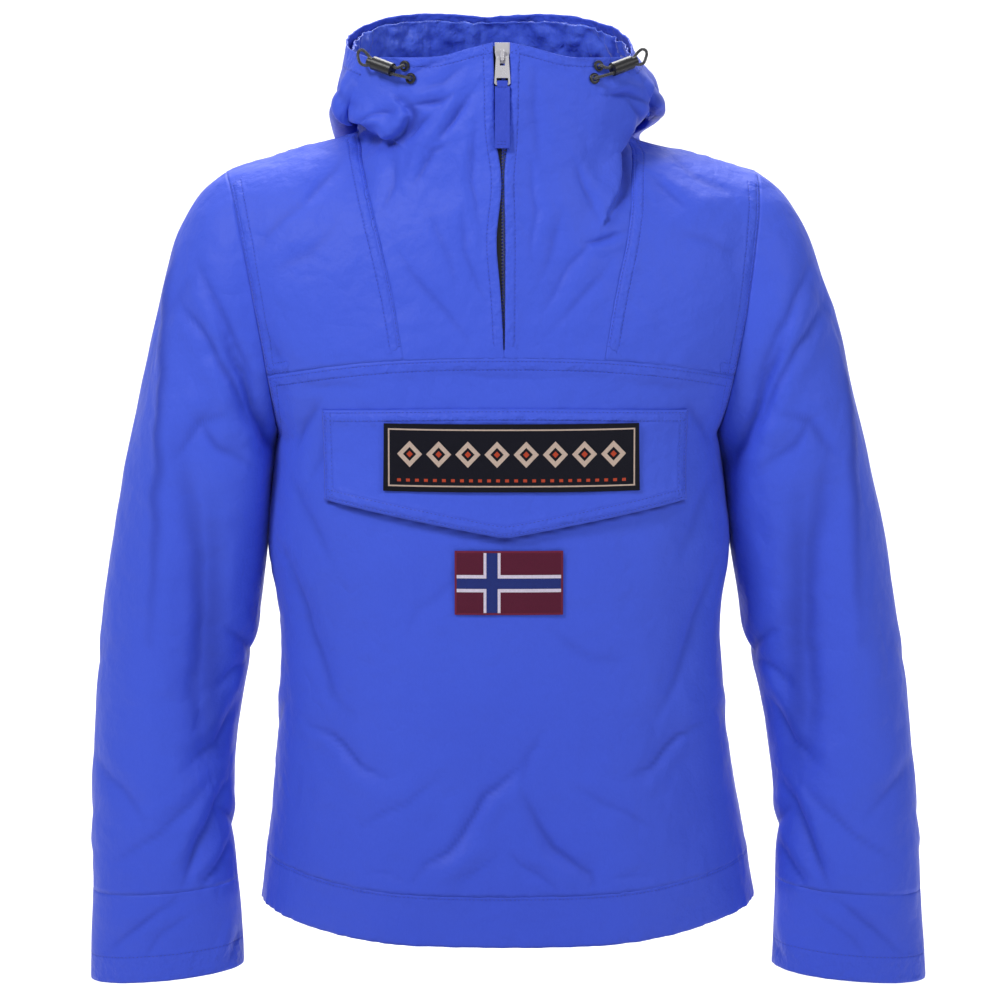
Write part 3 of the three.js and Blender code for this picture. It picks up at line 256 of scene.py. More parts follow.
def satin():
    paint = Paint("lining_satin", DEEP_BLUE, 0.34, Sheen_Weight=0.3, Sheen_Roughness=0.3,
                  Specular_IOR_Level=0.6)
    crush = paint.noise(60, 5, (1, 1, 0.3))
    # Painted highlights on the crinkles' ridges and painted shade between them, from the same noise as the
    # bump.
    paint.feed("Base Color", paint.mix(crush * 1.6 - 0.3, SATIN_PAINTED_SHADE, SATIN_PAINTED_HIGHLIGHT))
    return paint.bump((crush, 5.0), (paint.noise(150, 3), 0.8)).material


lining_cloth = satin()

# %% [markdown]
# Both patches are embroidered: thousands of parallel threads, so they have a fine ribbed grain. So
# many threads can't be modelled one by one, and a sine wave of bump stands for them. The
# flag's bars and the wide patch's rows of lozenges and dashes are masks on the object's own x and z,
# in millimetres. A bar is stated by its middle and half its width, as a share of the flag.

# %% Embroidered patches
BURGUNDY = (0.125, 0.014, 0.040)
DARK_RED = (0.20, 0.022, 0.055)
NAVY = (0.020, 0.042, 0.24)
WHITE = (0.88, 0.80, 0.97)
BLACK = (0.007, 0.007, 0.014)
BEIGE = (0.70, 0.54, 0.45)
ORANGE = (0.60, 0.075, 0.03)
THREAD_PITCH = 0.75
THREAD_RISE = 0.12
RAISED = 0.5  # how far a design stands above its ground
FLAG_RIM = 1.7
POST, CROSSBAR = 0.345, 0.49
WHITE_BARS, BLUE_BARS = (0.078, 0.135), (0.052, 0.082)
ROW_INSET = 10  # from the wide patch's ends to its rows
LOZENGES = 8
LOZENGE_HALF, HOLE_HALF, CORE_HALF = 10.2, 5.4, 2.6
DASH_STEP, DASH_SHARE = 7.3, 0.42
DASH_RISE, DASH_HALF = 9.5, 1.2
FRAME_INSET, FRAME_LINE = 4.2, 1.2


def patch_paint(name, ground):
    """A patch's paint, with its x and z in millimetres."""
    paint = Paint(name, ground, 0.8, Sheen_Weight=0.03, Specular_IOR_Level=0.12)
    split = paint.node("ShaderNodeSeparateXYZ", inputs={0: paint.place()})
    x = split * (1 / MM)
    z = Value(paint, split.socket.node.outputs[2]) * (1 / MM)
    return paint, x, z


def thread_grain(along):
    return (along * (2 * math.pi / THREAD_PITCH)).math("SINE")


def flag_material():
    low, high = (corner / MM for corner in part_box("flag_patch"))
    width, height = high.x - low.x, high.z - low.z
    post = low.x + width * POST
    middle = low.z + height * CROSSBAR
    paint, x, z = patch_paint("flag_embroidery", BURGUNDY)

    def cross(bars):
        upright = x.closer(post, width * bars[0])
        return upright.math("MAXIMUM", z.closer(middle, height * bars[1]))

    white, blue = cross(WHITE_BARS), cross(BLUE_BARS)
    inside_x = x.closer((low.x + high.x) / 2, width / 2 - FLAG_RIM)
    inside = inside_x * z.closer((low.z + high.z) / 2, height / 2 - FLAG_RIM)
    colour = paint.mix(white, BURGUNDY, WHITE)
    colour = paint.mix(blue, colour, NAVY)
    colour = paint.mix(inside, DARK_RED, colour)
    paint.feed("Base Color", paint.mix(paint.noise(700, 2) * 0.3, colour, (0.03, 0.01, 0.02)))
    return paint.bump((white * inside, RAISED), (thread_grain(x + z), THREAD_RISE)).material


def name_patch_material():
    low, high = (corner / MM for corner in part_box("label_patch"))
    centre_x, centre_z = (low.x + high.x) / 2, (low.z + high.z) / 2
    half_w, half_h = (high.x - low.x) / 2, (high.z - low.z) / 2
    paint, x, z = patch_paint("name_patch_embroidery", BLACK)

    def frame_line(inset, thick):
        outer = x.closer(centre_x, half_w - inset) * z.closer(centre_z, half_h - inset)
        inner = x.closer(centre_x, half_w - inset - thick) * z.closer(centre_z, half_h - inset - thick)
        return outer - inner

    row_half = half_w - ROW_INSET
    pitch, row_z = 2 * row_half / LOZENGES, centre_z + 3
    shifted = (x - (centre_x - row_half)) * (1 / pitch)
    phase = (shifted.math("FRACT") - 0.5).math("ABSOLUTE") * pitch
    across = phase + (z - row_z).math("ABSOLUTE") * 0.95
    in_row = x.closer(centre_x, row_half)
    lozenge = across.math("LESS_THAN", LOZENGE_HALF) * in_row
    hole = across.math("LESS_THAN", HOLE_HALF)
    core = across.math("LESS_THAN", CORE_HALF) * in_row
    dash = (x * (1 / DASH_STEP)).math("FRACT").math("LESS_THAN", DASH_SHARE)
    dashes = z.closer(centre_z - half_h + DASH_RISE, DASH_HALF) * dash * in_row
    beige = (lozenge * (1 - hole)).math("MAXIMUM", frame_line(FRAME_INSET, FRAME_LINE))
    colour = paint.mix(beige, BLACK, BEIGE)
    colour = paint.mix(core.math("MAXIMUM", dashes), colour, ORANGE)
    paint.feed("Base Color", paint.mix(paint.noise(800, 2) * 0.3, colour, BLACK))
    raised = beige.math("MAXIMUM", core)
    return paint.bump((raised, RAISED), (thread_grain(x - z), THREAD_RISE)).material


flag_cloth = flag_material()
name_cloth = name_patch_material()

# %% [markdown]
# ## The plain finishes
# Nickel, gunmetal, satin plastic, zip tape, zip teeth and sewing thread each have their own grain and
# small changes of gloss, because a single even value looks like nothing in particular. The cord's
# braid is a wave that runs round it.

# %% Metals, plastic, cord and tape
GLOSS_SPREAD = 0.18
BRAID_SCALE = 60.0


def worn(name, colour, roughness, metallic, scale, depth, stretch=(1, 1, 1)):
    """A finish whose tone and gloss vary a little, with a fine bump of a depth in millimetres."""
    paint = Paint(name, colour, roughness, Metallic=metallic)
    marks = paint.noise(scale, 4, stretch)
    darker = tuple(c * 0.6 for c in colour)
    paint.feed("Base Color", paint.mix(marks, colour, darker))
    paint.feed("Roughness", marks * GLOSS_SPREAD + (roughness - GLOSS_SPREAD / 2))
    return paint.bump((paint.noise(scale * 4, 2, stretch), depth)).material


def braided_cord():
    paint = Paint("braided_cord", (0.012, 0.012, 0.018), 0.7, Sheen_Weight=0.4)
    spot = paint.place("UV")
    settings = {"bands_direction": "DIAGONAL"}
    braid = paint.node("ShaderNodeTexWave", settings, {"Vector": spot, "Scale": BRAID_SCALE})
    return paint.bump((braid, 0.35), (paint.noise(1500, 2), 0.1)).material


strap_cloth = nylon("strap_nylon", DEEP_BLUE, SHADE_AND_DARK_TONE_BLUE, 0.6)
nickel = worn("nickel", (0.93, 0.91, 0.97), 0.28, 0.5, 70, 0.01)
gunmetal = worn("gunmetal", (0.05, 0.05, 0.055), 0.38, 0.8, 400, 0.02)
black_plastic = worn("black_plastic", (0.018, 0.018, 0.021), 0.34, 0.0, 500, 0.03)
zip_black = worn("zip_tape_weave", (0.010, 0.011, 0.017), 0.8, 0.0, 1400, 0.12, (3, 3, 1))
teeth_black = worn("zip_teeth", (0.11, 0.125, 0.20), 0.35, 0.2, 700, 0.02)
thread_blue = worn("sewing_thread", (0.024, 0.048, 0.40), 0.6, 0.0, 900, 0.05)
cord_black = braided_cord()
print("materials", len(bpy.data.materials))

# %% [markdown]
# ## Getting one side of a cloth wall
# Each cloth node is a closed wall. Its narrow rim has edges as short as the cloth is thick, and no
# other edge is that short. Without the rim two skins are left, and the one that faces outwards is
# kept. A whole wall could be smoothed too, but its rim would round into a lip far too thick for
# nylon. Pairs of triangles are joined again, so that the skin is smoothed as a net of squares.

# %% Outer skins
RIM_EDGE = 2.6 * MM
SQUARE_TURN = math.radians(80)


def piece_from(mesh_maker, name):
    """A new object at the origin from a bmesh, which is freed. The frame's own stored normals
    are dropped, because they would hide every new crease."""
    mesh = bpy.data.meshes.new(name)
    mesh_maker.to_mesh(mesh)
    mesh_maker.free()
    if "custom_normal" in mesh.attributes:
        mesh.attributes.remove(mesh.attributes["custom_normal"])
    return shown(name, mesh)


def islands(faces):
    """The faces in groups that hang together."""
    left = set(faces)
    while left:
        group = {left.pop()}
        to_visit = list(group)
        while to_visit:
            near = {f for e in to_visit.pop().edges for f in e.link_faces} & left
            left -= near
            group |= near
            to_visit.extend(near)
        yield group


def outer_skin(node, way):
    """The skin of a node's wall that faces a way, as a net of squares."""
    skin = bmesh.new()
    skin.from_mesh(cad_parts[node].data)
    bmesh.ops.remove_doubles(skin, verts=skin.verts, dist=0.01 * MM)
    rim = [f for f in skin.faces if min(e.calc_length() for e in f.edges) < RIM_EDGE]
    bmesh.ops.delete(skin, geom=rim, context="FACES")
    skin.normal_update()
    way = Vector(way).normalized()

    def farthest(group):
        facing = [f.calc_center_median().dot(way) for f in group if f.normal.dot(way) > 0.7]
        return max(facing, default=-1e9)

    kept = max(islands(skin.faces), key=farthest)
    bmesh.ops.delete(skin, geom=[f for f in skin.faces if f not in kept], context="FACES")
    bmesh.ops.join_triangles(skin, faces=skin.faces, angle_face_threshold=SQUARE_TURN,
                             angle_shape_threshold=SQUARE_TURN)
    return skin


def with_modifiers_applied(piece):
    """The piece, with its mesh replaced by what its modifiers make of it."""
    graph = bpy.context.evaluated_depsgraph_get()
    mesh = bpy.data.meshes.new_from_object(piece.evaluated_get(graph))
    piece.modifiers.clear()
    piece.data = mesh
    return piece


def smoothed(skin, name, levels):
    """A piece from a skin, subdivided, with its corners kept."""
    piece = piece_from(skin, name)
    smooth = piece.modifiers.new("smooth", "SUBSURF")
    smooth.levels = smooth.render_levels = levels
    smooth.boundary_smooth = "PRESERVE_CORNERS"
    return with_modifiers_applied(piece)


# %% [markdown]
# ## Creases placed one by one
# Thin nylon creases in soft troughs with a ridge beside them. Each row of these tables is one
# crease: where it runs as seen from one side, how wide and deep it is, and on which hand its ridge
# stands. A tuck is a fold that hangs over: its lip stands proud on one hand of the line, and on the
# other hand the cloth drops away. The front and back views read x and z, and the side views y and z.
# A cloth simulation would make other creases than the real ones, so these are drawn where they lie.

# %% Crease tables
Crease = namedtuple("Crease", "view path width depth ridge")
Tuck = namedtuple("Tuck", "view path width lip drop hand")


def creases(**views):
    """Creases from rows of path, width, depth and ridge, under the view that they are drawn on."""
    return [Crease(view, *row) for view, rows in views.items() for row in rows]


def tucks(**views):
    """Tucks from rows of path, width, lip, drop and hand."""
    return [Tuck(view, *row) for view, rows in views.items() for row in rows]


BODY_CREASES = creases(
    front=[
        ([(14, -512), (-1, -527), (-17, -538), (-25, -555), (-35, -572), (-49, -585), (-65, -594),
          (-74, -608)], 8, -4.2, 1),
        ([(16, -540), (27, -561), (41, -581), (58, -594), (72, -602), (76, -622)], 8, -3.8, -1),
        ([(-164, -488), (-144, -493), (-133, -501), (-120, -516), (-98, -524)], 7, -3.2, -1),
        ([(164, -488), (143, -494), (132, -504), (120, -517), (98, -525)], 7, -3.0, 1),
        ([(-56, -524), (-82, -546), (-100, -553), (-120, -566)], 7, -1.7, -1),
        ([(58, -532), (80, -546), (100, -553), (122, -567)], 7, -1.6, 1),
        ([(4, -584), (12, -594), (27, -603), (46, -619)], 6, -2.0, 1),
        ([(-4, -584), (-26, -602), (-43, -615)], 7, -1.6, -1),
        ([(-116, -603), (-97, -604), (-80, -608)], 4, -1.6, 0),
        ([(82, -609), (99, -606), (118, -603)], 4, -1.4, 0),
        ([(-92, -620), (-45, -622), (0, -624), (29, -620), (88, -623)], 4, -3.6, 0),
        ([(-184, -345), (-162, -404), (-143, -460), (-128, -474)], 9, -2.8, 1),
        ([(176, -352), (148, -429), (128, -474)], 9, -2.6, -1),
        ([(-30, -348), (-53, -369), (-72, -386), (-80, -402)], 10, -1.2, 1),
        ([(36, -400), (70, -425), (100, -430)], 12, -1.2, 1),
        ([(30, -486), (18, -506), (12, -528)], 9, -1.6, 1),
        ([(-173, -256), (-164, -237), (-152, -215)], 9, -3.0, 1),
        ([(-160, -280), (-149, -258), (-140, -230)], 9, -1.8, 1),
        ([(170, -252), (160, -236), (150, -216)], 9, -2.6, -1),
        ([(-178, -280), (-152, -330), (-140, -350)], 12, -2.0, 1),
        ([(174, -276), (154, -322), (142, -348)], 12, -1.8, -1),
        ([(-60, -190), (0, -194), (62, -192)], 4, -1.0, 0),
        ([(-186, -196), (-150, -203), (-110, -200)], 7, -1.2, 0),
        ([(176, -198), (140, -204), (104, -201)], 7, -1.1, 0),
        ([(-205, -150), (-188, -176), (-180, -196)], 9, -2.0, 1),
        ([(-166, -58), (-151, -40), (-134, -22)], 8, -2.4, -1),
        ([(-204, -92), (-182, -66), (-160, -52)], 10, -1.6, -1),
        ([(-190, -110), (-160, -96), (-136, -70)], 12, -1.4, 1),
        ([(120, -36), (126, -41), (134, -47), (150, -60)], 6, -1.8, 1),
        ([(188, -46), (158, -34), (134, -16)], 10, -2.2, 1),
        ([(192, -100), (168, -84), (146, -80)], 11, -1.5, 1),
    ],
    back=[
        ([(-160, -250), (-120, -300), (-60, -322)], 15, -4.4, 1),
        ([(158, -240), (118, -296), (58, -326)], 15, -4.2, -1),
        ([(-120, -180), (-60, -196), (10, -190)], 16, -2.6, 1),
        ([(-170, -430), (-110, -446), (-40, -430)], 12, -4.0, 1),
        ([(172, -440), (110, -462), (52, -452)], 12, -3.8, -1),
        ([(-150, -500), (-70, -536), (10, -528)], 12, -3.6, 1),
        ([(20, -490), (-30, -560), (-44, -616)], 11, -4.0, 1),
        ([(60, -520), (104, -572), (120, -618)], 10, -3.4, -1),
        ([(-130, -560), (-146, -620)], 10, -2.8, 1),
        ([(-80, -350), (0, -372), (70, -366)], 16, -2.6, 1),
    ],
    right=[
        ([(-40, -470), (0, -500), (50, -492)], 11, -3.2, 1),
    ],
    left=[
        ([(-44, -476), (6, -504), (52, -498)], 11, -3.0, 1),
    ],
)

NECK_CREASES = creases(
    front=[
        ([(-114, 16), (-103, 19), (-90, 20)], 4, -2.6, -1),
        ([(-108, 14), (-104, 6), (-98, 0)], 4, -2.0, 1),
        ([(-76, 24), (-62, 26), (-53, 28), (-42, 34)], 5, -4.0, 1),
        ([(-82, -4), (-76, 2), (-69, 10), (-62, 16)], 6, -4.6, 1),
        ([(-54, -4), (-43, 12), (-37, 22), (-28, 35)], 6, -4.6, 1),
        ([(-73, -38), (-65, -23), (-59, -13), (-46, -7)], 7, -3.0, 1),
        ([(-25, 10), (-27, -16), (-27, -38), (-22, -70)], 5, -2.4, -1),
        ([(-90, -16), (-91, -42), (-100, -62)], 8, -1.8, -1),
        ([(-74, 50), (-59, 58), (-42, 64)], 6, -2.2, 1),
        ([(-66, 36), (-50, 42), (-34, 56)], 7, -1.8, 1),
        ([(-34, -56), (-34, -92), (-16, -132)], 7, -1.8, 1),
        ([(-86, -96), (-64, -124), (-30, -162)], 9, -1.8, -1),
        ([(-62, -60), (-46, -96), (-40, -120)], 10, -1.2, 1),
        ([(26, 62), (22, 20), (28, -30)], 9, -1.6, -1),
        ([(20, -14), (24, -60), (20, -100)], 6, -1.5, 1),
        ([(84, 32), (91, 31), (100, 33), (113, 27)], 5, -4.4, 1),
        ([(100, 28), (106, 15), (105, 2)], 5, -4.0, 1),
        ([(66, -86), (77, -84), (85, -82), (97, -76)], 5, -3.2, -1),
        ([(56, -22), (64, -42), (70, -52), (76, -66)], 6, -2.0, 1),
        ([(70, -84), (52, -104), (30, -140)], 8, -1.9, 1),
        ([(46, -60), (36, -96), (24, -120)], 9, -1.4, -1),
        ([(84, -104), (60, -130), (34, -160)], 8, -1.4, 1),
        ([(42, 74), (62, 60), (90, 56)], 6, -1.8, -1),
        ([(-142, 44), (-128, 34), (-112, 26)], 8, -2.4, -1),
        ([(138, 36), (130, 20), (124, 10)], 7, -2.4, -1),
    ],
    back=[
        ([(-120, 52), (-70, 20), (-20, 6)], 10, -3.4, 1),
        ([(118, 48), (70, 14), (24, -6)], 10, -3.4, -1),
        ([(-100, 8), (-60, -26), (-14, -52)], 10, -4.0, 1),
        ([(96, 4), (58, -30), (18, -46)], 10, -3.8, -1),
        ([(-60, 70), (-40, 40), (-34, 10)], 9, -2.6, 1),
        ([(52, 72), (36, 44), (34, 16)], 9, -2.6, -1),
        ([(-40, -60), (-6, -44), (30, -64)], 9, -2.8, 1),
    ],
    left=[
        ([(-30, 52), (10, 34), (60, 30)], 9, -3.2, 1),
        ([(0, 74), (36, 56), (84, 40)], 8, -2.4, -1),
    ],
    right=[
        ([(-34, 56), (10, 36), (62, 28)], 9, -3.4, -1),
        ([(-4, 78), (30, 60), (80, 46)], 8, -2.6, 1),
    ],
) + tucks(
    front=[
        ([(-152, 33), (-142, 26), (-136, 18), (-122, 15), (-111, 13), (-107, 5), (-98, -1)],
         9, 5.0, 9.0, 1),
        ([(-104, 0), (-96, -1), (-90, 3), (-84, 10), (-80, 17), (-85, 24)], 7, 5.0, 7.0, 1),
        ([(126, 50), (121, 42), (116, 28), (113, 19), (111, 9), (102, 0), (91, -14), (93, -31),
          (92, -45), (84, -62)], 8, 4.0, 8.0, -1),
        ([(148, 24), (138, 8), (124, 4), (112, 1), (104, -4)], 7, 3.5, 8.0, 1),
    ],
)

# These are for a right sleeve. A left one mirrors the front and back views.
SLEEVE_CREASES = creases(
    front=[
        ([(-254, -104), (-236, -139), (-215, -182), (-206, -206)], 8, -3.0, -1),
        ([(-268, -136), (-244, -168), (-226, -197), (-212, -232)], 8, -3.6, -1),
        ([(-229, -168), (-215, -198), (-203, -234), (-190, -263), (-184, -290)], 12, -8.5, -1),
        ([(-272, -40), (-280, -140), (-285, -250), (-290, -350), (-296, -420)], 13, 4.0, 0),
        ([(-276, -268), (-252, -235), (-224, -226)], 10, -2.8, 1),
        ([(-254, -234), (-238, -255), (-212, -272)], 10, -3.0, 1),
        ([(-270, -262), (-262, -300), (-254, -353), (-252, -420), (-258, -470), (-250, -520)],
         24, -7.0, -1),
        ([(-210, -440), (-226, -450), (-240, -464)], 6, -2.6, 1),
        ([(-222, -476), (-230, -492), (-239, -510), (-260, -521)], 7, -4.0, -1),
        ([(-228, -538), (-242, -559), (-250, -575), (-259, -597), (-275, -636)], 7, -4.2, -1),
        ([(-222, -584), (-243, -614), (-256, -630), (-286, -634)], 6, -3.6, -1),
        ([(-270, -632), (-306, -659), (-334, -684)], 7, -2.6, -1),
        ([(-244, -540), (-291, -581), (-328, -606)], 8, -2.0, -1),
        ([(-220, -656), (-228, -681), (-235, -704)], 6, -2.0, -1),
        ([(-262, -648), (-290, -668), (-306, -692)], 6, -1.6, -1),
        ([(-348, -520), (-322, -544), (-300, -570)], 9, -1.8, 1),
        ([(-243, -300), (-241, -400), (-243, -470), (-242, -540)], 30, -4.0, 0),
    ],
    back=[
        ([(-206, -210), (-238, -262), (-262, -300)], 14, -5.0, 1),
        ([(-200, -290), (-240, -330), (-284, -340)], 12, -4.2, 1),
        ([(-222, -402), (-266, -396), (-318, -410)], 11, -5.0, 1),
        ([(-226, -452), (-270, -436), (-330, -456)], 11, -5.0, -1),
        ([(-232, -500), (-276, -500), (-330, -486)], 11, -4.0, 1),
        ([(-240, -560), (-290, -590), (-330, -584)], 10, -3.6, -1),
        ([(-246, -612), (-290, -622), (-336, -606)], 9, -3.0, 1),
    ],
    outer=[
        ([(-46, -420), (0, -446), (50, -440)], 11, -1.0, 1),
        ([(-40, -560), (-6, -580), (34, -570)], 10, -1.2, -1),
        ([(-40, -604), (0, -612), (30, -602)], 8, -1.0, 1),
        ([(-60, -110), (-30, -160), (-20, -230)], 14, -1.4, 1),
    ],
    inner=[
        ([(-50, -410), (0, -440), (50, -420)], 11, -3.4, 1),
        ([(-46, -560), (0, -590), (40, -580)], 10, -3.0, 1),
    ],
)
creases_in_all = len(BODY_CREASES) + len(NECK_CREASES) + 2 * len(SLEEVE_CREASES)
print("creases placed:", creases_in_all)

# %% [markdown]
# A crease's depth at a point is worked out on the side's flat view: the nearest spot on its path
# gives the distance and the hand. It fades out at both ends and where the cloth turns away. Noise
# moves each line a little, as no crease is quite straight.

# %% Depth of the creases
# Each view's axes across and up, and the way it looks back from.
VIEWS = {
    "front": (0, 2, (0, -1, 0)),
    "back": (0, 2, (0, 1, 0)),
    "left": (1, 2, (1, 0, 0)),
    "right": (1, 2, (-1, 0, 0)),
}
WOBBLE = 2.4
FAR = 1e9


def hump(distance, width):
    """1 at no distance, and falling off softly over a width."""
    return np.exp(-((distance / width) ** 2))


def noise_at(points, wave, seed=0.0):
    """Smooth noise from -1 to 1 at points in millimetres; wave is the size of its bumps."""
    shift = Vector((seed, seed * 1.7, seed * 0.6))
    return np.array([noise.noise(Vector(p) / wave + shift) for p in points])


def flat_offset(path, flat):
    """Each flat point's distance from a path, its hand, its way along, and the path's own side."""
    path = np.array(path, float)
    steps = np.linalg.norm(np.diff(path, axis=0), axis=1)
    run = np.concatenate([[0], np.cumsum(steps)])
    nearest = np.full(len(flat), FAR)
    along = np.zeros(len(flat))
    hand = np.zeros(len(flat))
    side_way = np.zeros((len(flat), 2))
    for i, step in enumerate(steps):
        unit = (path[i + 1] - path[i]) / step
        offset = flat - path[i]
        t = np.clip(offset @ unit, 0, step)
        away = offset - t[:, None] * unit
        distance = np.linalg.norm(away, axis=1)
        closer = distance < nearest
        side = unit[0] * offset[:, 1] - unit[1] * offset[:, 0]
        nearest = np.where(closer, distance, nearest)
        along = np.where(closer, (run[i] + t) / run[-1], along)
        hand = np.where(closer, np.sign(side), hand)
        side_way[closer] = (-unit[1], unit[0])
    return nearest * hand, along, side_way


def folded(crease, points, normals, wobble, mirrored):
    """A crease's move of each point in millimetres, and how much painted shade each one takes along its
    line.
    """
    view = crease.view
    if view in ("outer", "inner"):
        view = "left" if (view == "outer") == mirrored else "right"
    across, up, facing = VIEWS[view]
    flip = -1 if mirrored and across == 0 else 1
    turned = np.clip(normals @ np.array(facing) * 2.2 + 0.1, 0, 1)
    flat = np.stack([points[:, across] * flip, points[:, up]], 1)
    offset, along, side_way = flat_offset(crease.path, flat)
    offset = offset + wobble * WOBBLE
    fade = np.sin(np.pi * np.clip(along, 0.04, 0.96)) ** 0.6 * turned
    width = crease.width
    line = hump(offset, 0.32 * width) * fade
    if isinstance(crease, Tuck):
        offset = offset * crease.hand
        proud = 1 / (1 + np.exp(-offset / 0.7))
        lip = crease.lip * hump(offset - 0.5 * width, width)
        drop = crease.drop * hump(offset, 1.3 * width)
        move = normals * ((proud * lip - (1 - proud) * drop) * fade)[:, None]
        over = crease.lip * 0.7 * proud * hump(offset, 0.6 * width) * fade
        move[:, across] -= side_way[:, 0] * crease.hand * over * flip
        move[:, up] -= side_way[:, 1] * crease.hand * over
        # Painted shadow: a dark band on the side where the cloth drops away, under the tuck's lip.
        under = hump(offset + 0.9 * width, 0.55 * width) * fade
        return move, under * 1.5
    wide = width * (0.75 + 0.5 * along)
    trough = 0.6 * hump(offset, wide) + 0.4 * hump(offset, 0.35 * wide)
    ridge = hump(offset - crease.ridge * 1.5 * wide, wide) * abs(crease.ridge)
    height = crease.depth * (trough - 0.5 * ridge) * fade
    # The second value is painted shade along the crease's trough, stronger for deeper creases.
    return normals * height[:, None], line * min(0.8, abs(crease.depth) / 5)


# %% [markdown]
# ## From a skin to a finished piece of cloth
# A real panel is pulled about by its seams and by what is under it. Here the skin is creased and
# rumpled along its normals, and soft pushes and swells shape whole regions of it. They could be
# sculpted, but a short table of places says the same and is easy to change.

# %% Sizes and regions
CLOTH = 1.2
EDGE_OUT = 0.3
EDGE_DOWN = 0.28
EDGE_WIDTH = 1.2
MEETING = 3.2  # borders nearer than this are sewn to each other
MEETING_REACH = 7
NEVER = 99.0  # seam distance where no row of stitches is near
STRAIGHT = 0.86  # a row's groove is left out where the way to it is more askew than this cosine

SEAM_GRIP = 0.15  # how much of a crease is left at a seam
NECK_GRIP = 0.85  # the hood's seam folds with the cloth
GRIP_REACH = 9
RUMPLE_WAVES = (62, 27)
PUCKER_WAVE = 7.5
PUCKER_REACH = 8
ZIP_HALF_WIDTH = 14
ZIP_END = -172

# Soft pushes of whole regions: centre, reach and move.
PUSHES = [
    ((-138, -8, 30), (24, 36, 34), (3, -20, -3)),
    ((138, -8, 30), (24, 36, 34), (3, -16, -3)),
    ((-112, -48, 22), (24, 24, 22), (-5, -9, -3)),
    ((112, -48, 16), (22, 24, 22), (4, -7, 0)),
    ((-118, -46, -6), (20, 26, 9), (3, 8, 0)),
    ((128, 25, -3), (26, 70, 9), (-16, 0, 0)),
    ((130, 0, 70), (24, 60, 17), (-8, 0, 0)),
    ((-165, 10, -20), (60, 80, 30), (0, 0, 2.5)),
    ((7, -110, 22), (8, 60, 55), (-4.5, 0, 0)),
]

# Places where a piece fills out along its own normals, so that sleeve and body touch: centre,
# reach and height.
SWELLS = [
    ((186, 0, -328), (16, 70, 62), 2.9),
    ((-199, 0, -328), (16, 70, 62), 2.9),
    ((179, 0, -272), (14, 60, 22), 1.6),
    ((-193, 0, -272), (14, 60, 22), 1.6),
    ((-131, -40, 24), (11, 26, 28), 8.0),
]
FLAP_LINE = [(-146, -296.5), (-80, -309), (0, -325), (80, -309), (146, -296.5)]  # its free lower edge
FLAP_CORNER = -297
# The flap's painted shadow line on the body, under its free edge.
FLAP_SHADOW = 1.7  # half the width of the dark line under it

Skin = namedtuple("Skin", "cloth piece base normals now chains outward border near distance")
Cloth = namedtuple("Cloth", "node way creases mirrored levels rumple pucker rows stitched flat area held")
print("pushes", len(PUSHES), "swells", len(SWELLS))


def soft_edge(x, y, z):
    """Whether an edge is the hood's own seam, which is sewn flat and hardly shows."""
    return z > -16 and abs(x) > 84 or y > 40 and z > -120


def ring_crinkles(points):
    """The gathered channel round the face opening, crinkled by its drawcord."""
    behind = np.clip((points[:, 1] + 20) / 40, 0, 1)
    near_top = np.clip((points[:, 2] - 50) / 14, 0, 1)
    return 1.7 * behind * near_top * noise_at(points * np.array((1, 1, 0.45)), 8, 11)


def bulge(points, centre, reach):
    """1 at a centre, and falling off softly over its reach along each axis."""
    away = (points - np.array(centre)) / np.array(reach)
    return np.exp(-(away**2).sum(axis=1))


def pushed(points):
    """How far the soft pushes move each point."""
    move = np.zeros_like(points)
    for centre, reach, way in PUSHES:
        move += bulge(points, centre, reach)[:, None] * np.array(way)
    return move


def swollen(points):
    """How far each point fills out along its normal."""
    height = np.zeros(len(points))
    for centre, reach, most in SWELLS:
        height += most * bulge(points, centre, reach)
    return height


def sewn_down(points, border):
    """How deep the flap's edge sinks: its top and sides are sewn flat, its lower edge is free."""
    near, distance = nearest_in(points, points[border])
    free = points[border][near][:, 2] < FLAP_CORNER
    return np.where(free, 0.5 * hump(distance, 3), 1.5 * hump(distance, 5))


# %% [markdown]
# What happens at a seam depends on the distance to the skin's border, so the border is found once, as
# chains of vertices, with the way out of the cloth at each one.

# %% Borders
def mesh_arrays(mesh):
    """The mesh's points in millimetres, and their normals."""
    count = len(mesh.vertices)
    points = np.zeros(count * 3)
    normals = np.zeros(count * 3)
    mesh.vertices.foreach_get("co", points)
    mesh.vertices.foreach_get("normal", normals)
    return points.reshape(-1, 3) / MM, normals.reshape(-1, 3)


def edge_facts(mesh):
    """The mesh's border vertices in order, as chains, and each one's way out of the cloth."""
    net = bmesh.new()
    net.from_mesh(mesh)
    net.verts.ensure_lookup_table()
    border = {v.index: v for v in net.verts if v.is_boundary}
    outward = {}
    for index, vertex in border.items():
        middle = sum((f.calc_center_median() for f in vertex.link_faces), Vector()) / len(vertex.link_faces)
        ends = [e.other_vert(vertex).co for e in vertex.link_edges if e.is_boundary]
        tangent = (ends[0] - ends[1]).normalized() if len(ends) == 2 else Vector()
        way = vertex.co - middle
        way -= tangent * way.dot(tangent)
        outward[index] = way.normalized()
    chains = []
    left = set(border)
    while left:
        chain = [left.pop()]
        for end in (0, -1):
            while True:
                here = border[chain[end]]
                near = [e.other_vert(here).index for e in here.link_edges if e.is_boundary]
                fresh = [i for i in near if i in left]
                if not fresh:
                    break
                left.discard(fresh[0])
                chain.insert(0, fresh[0]) if end == 0 else chain.append(fresh[0])
        first, last = border[chain[0]], border[chain[-1]]
        closed = any(e.other_vert(first) == last for e in first.link_edges if e.is_boundary)
        chains.append((chain, closed))
    net.free()
    return chains, outward


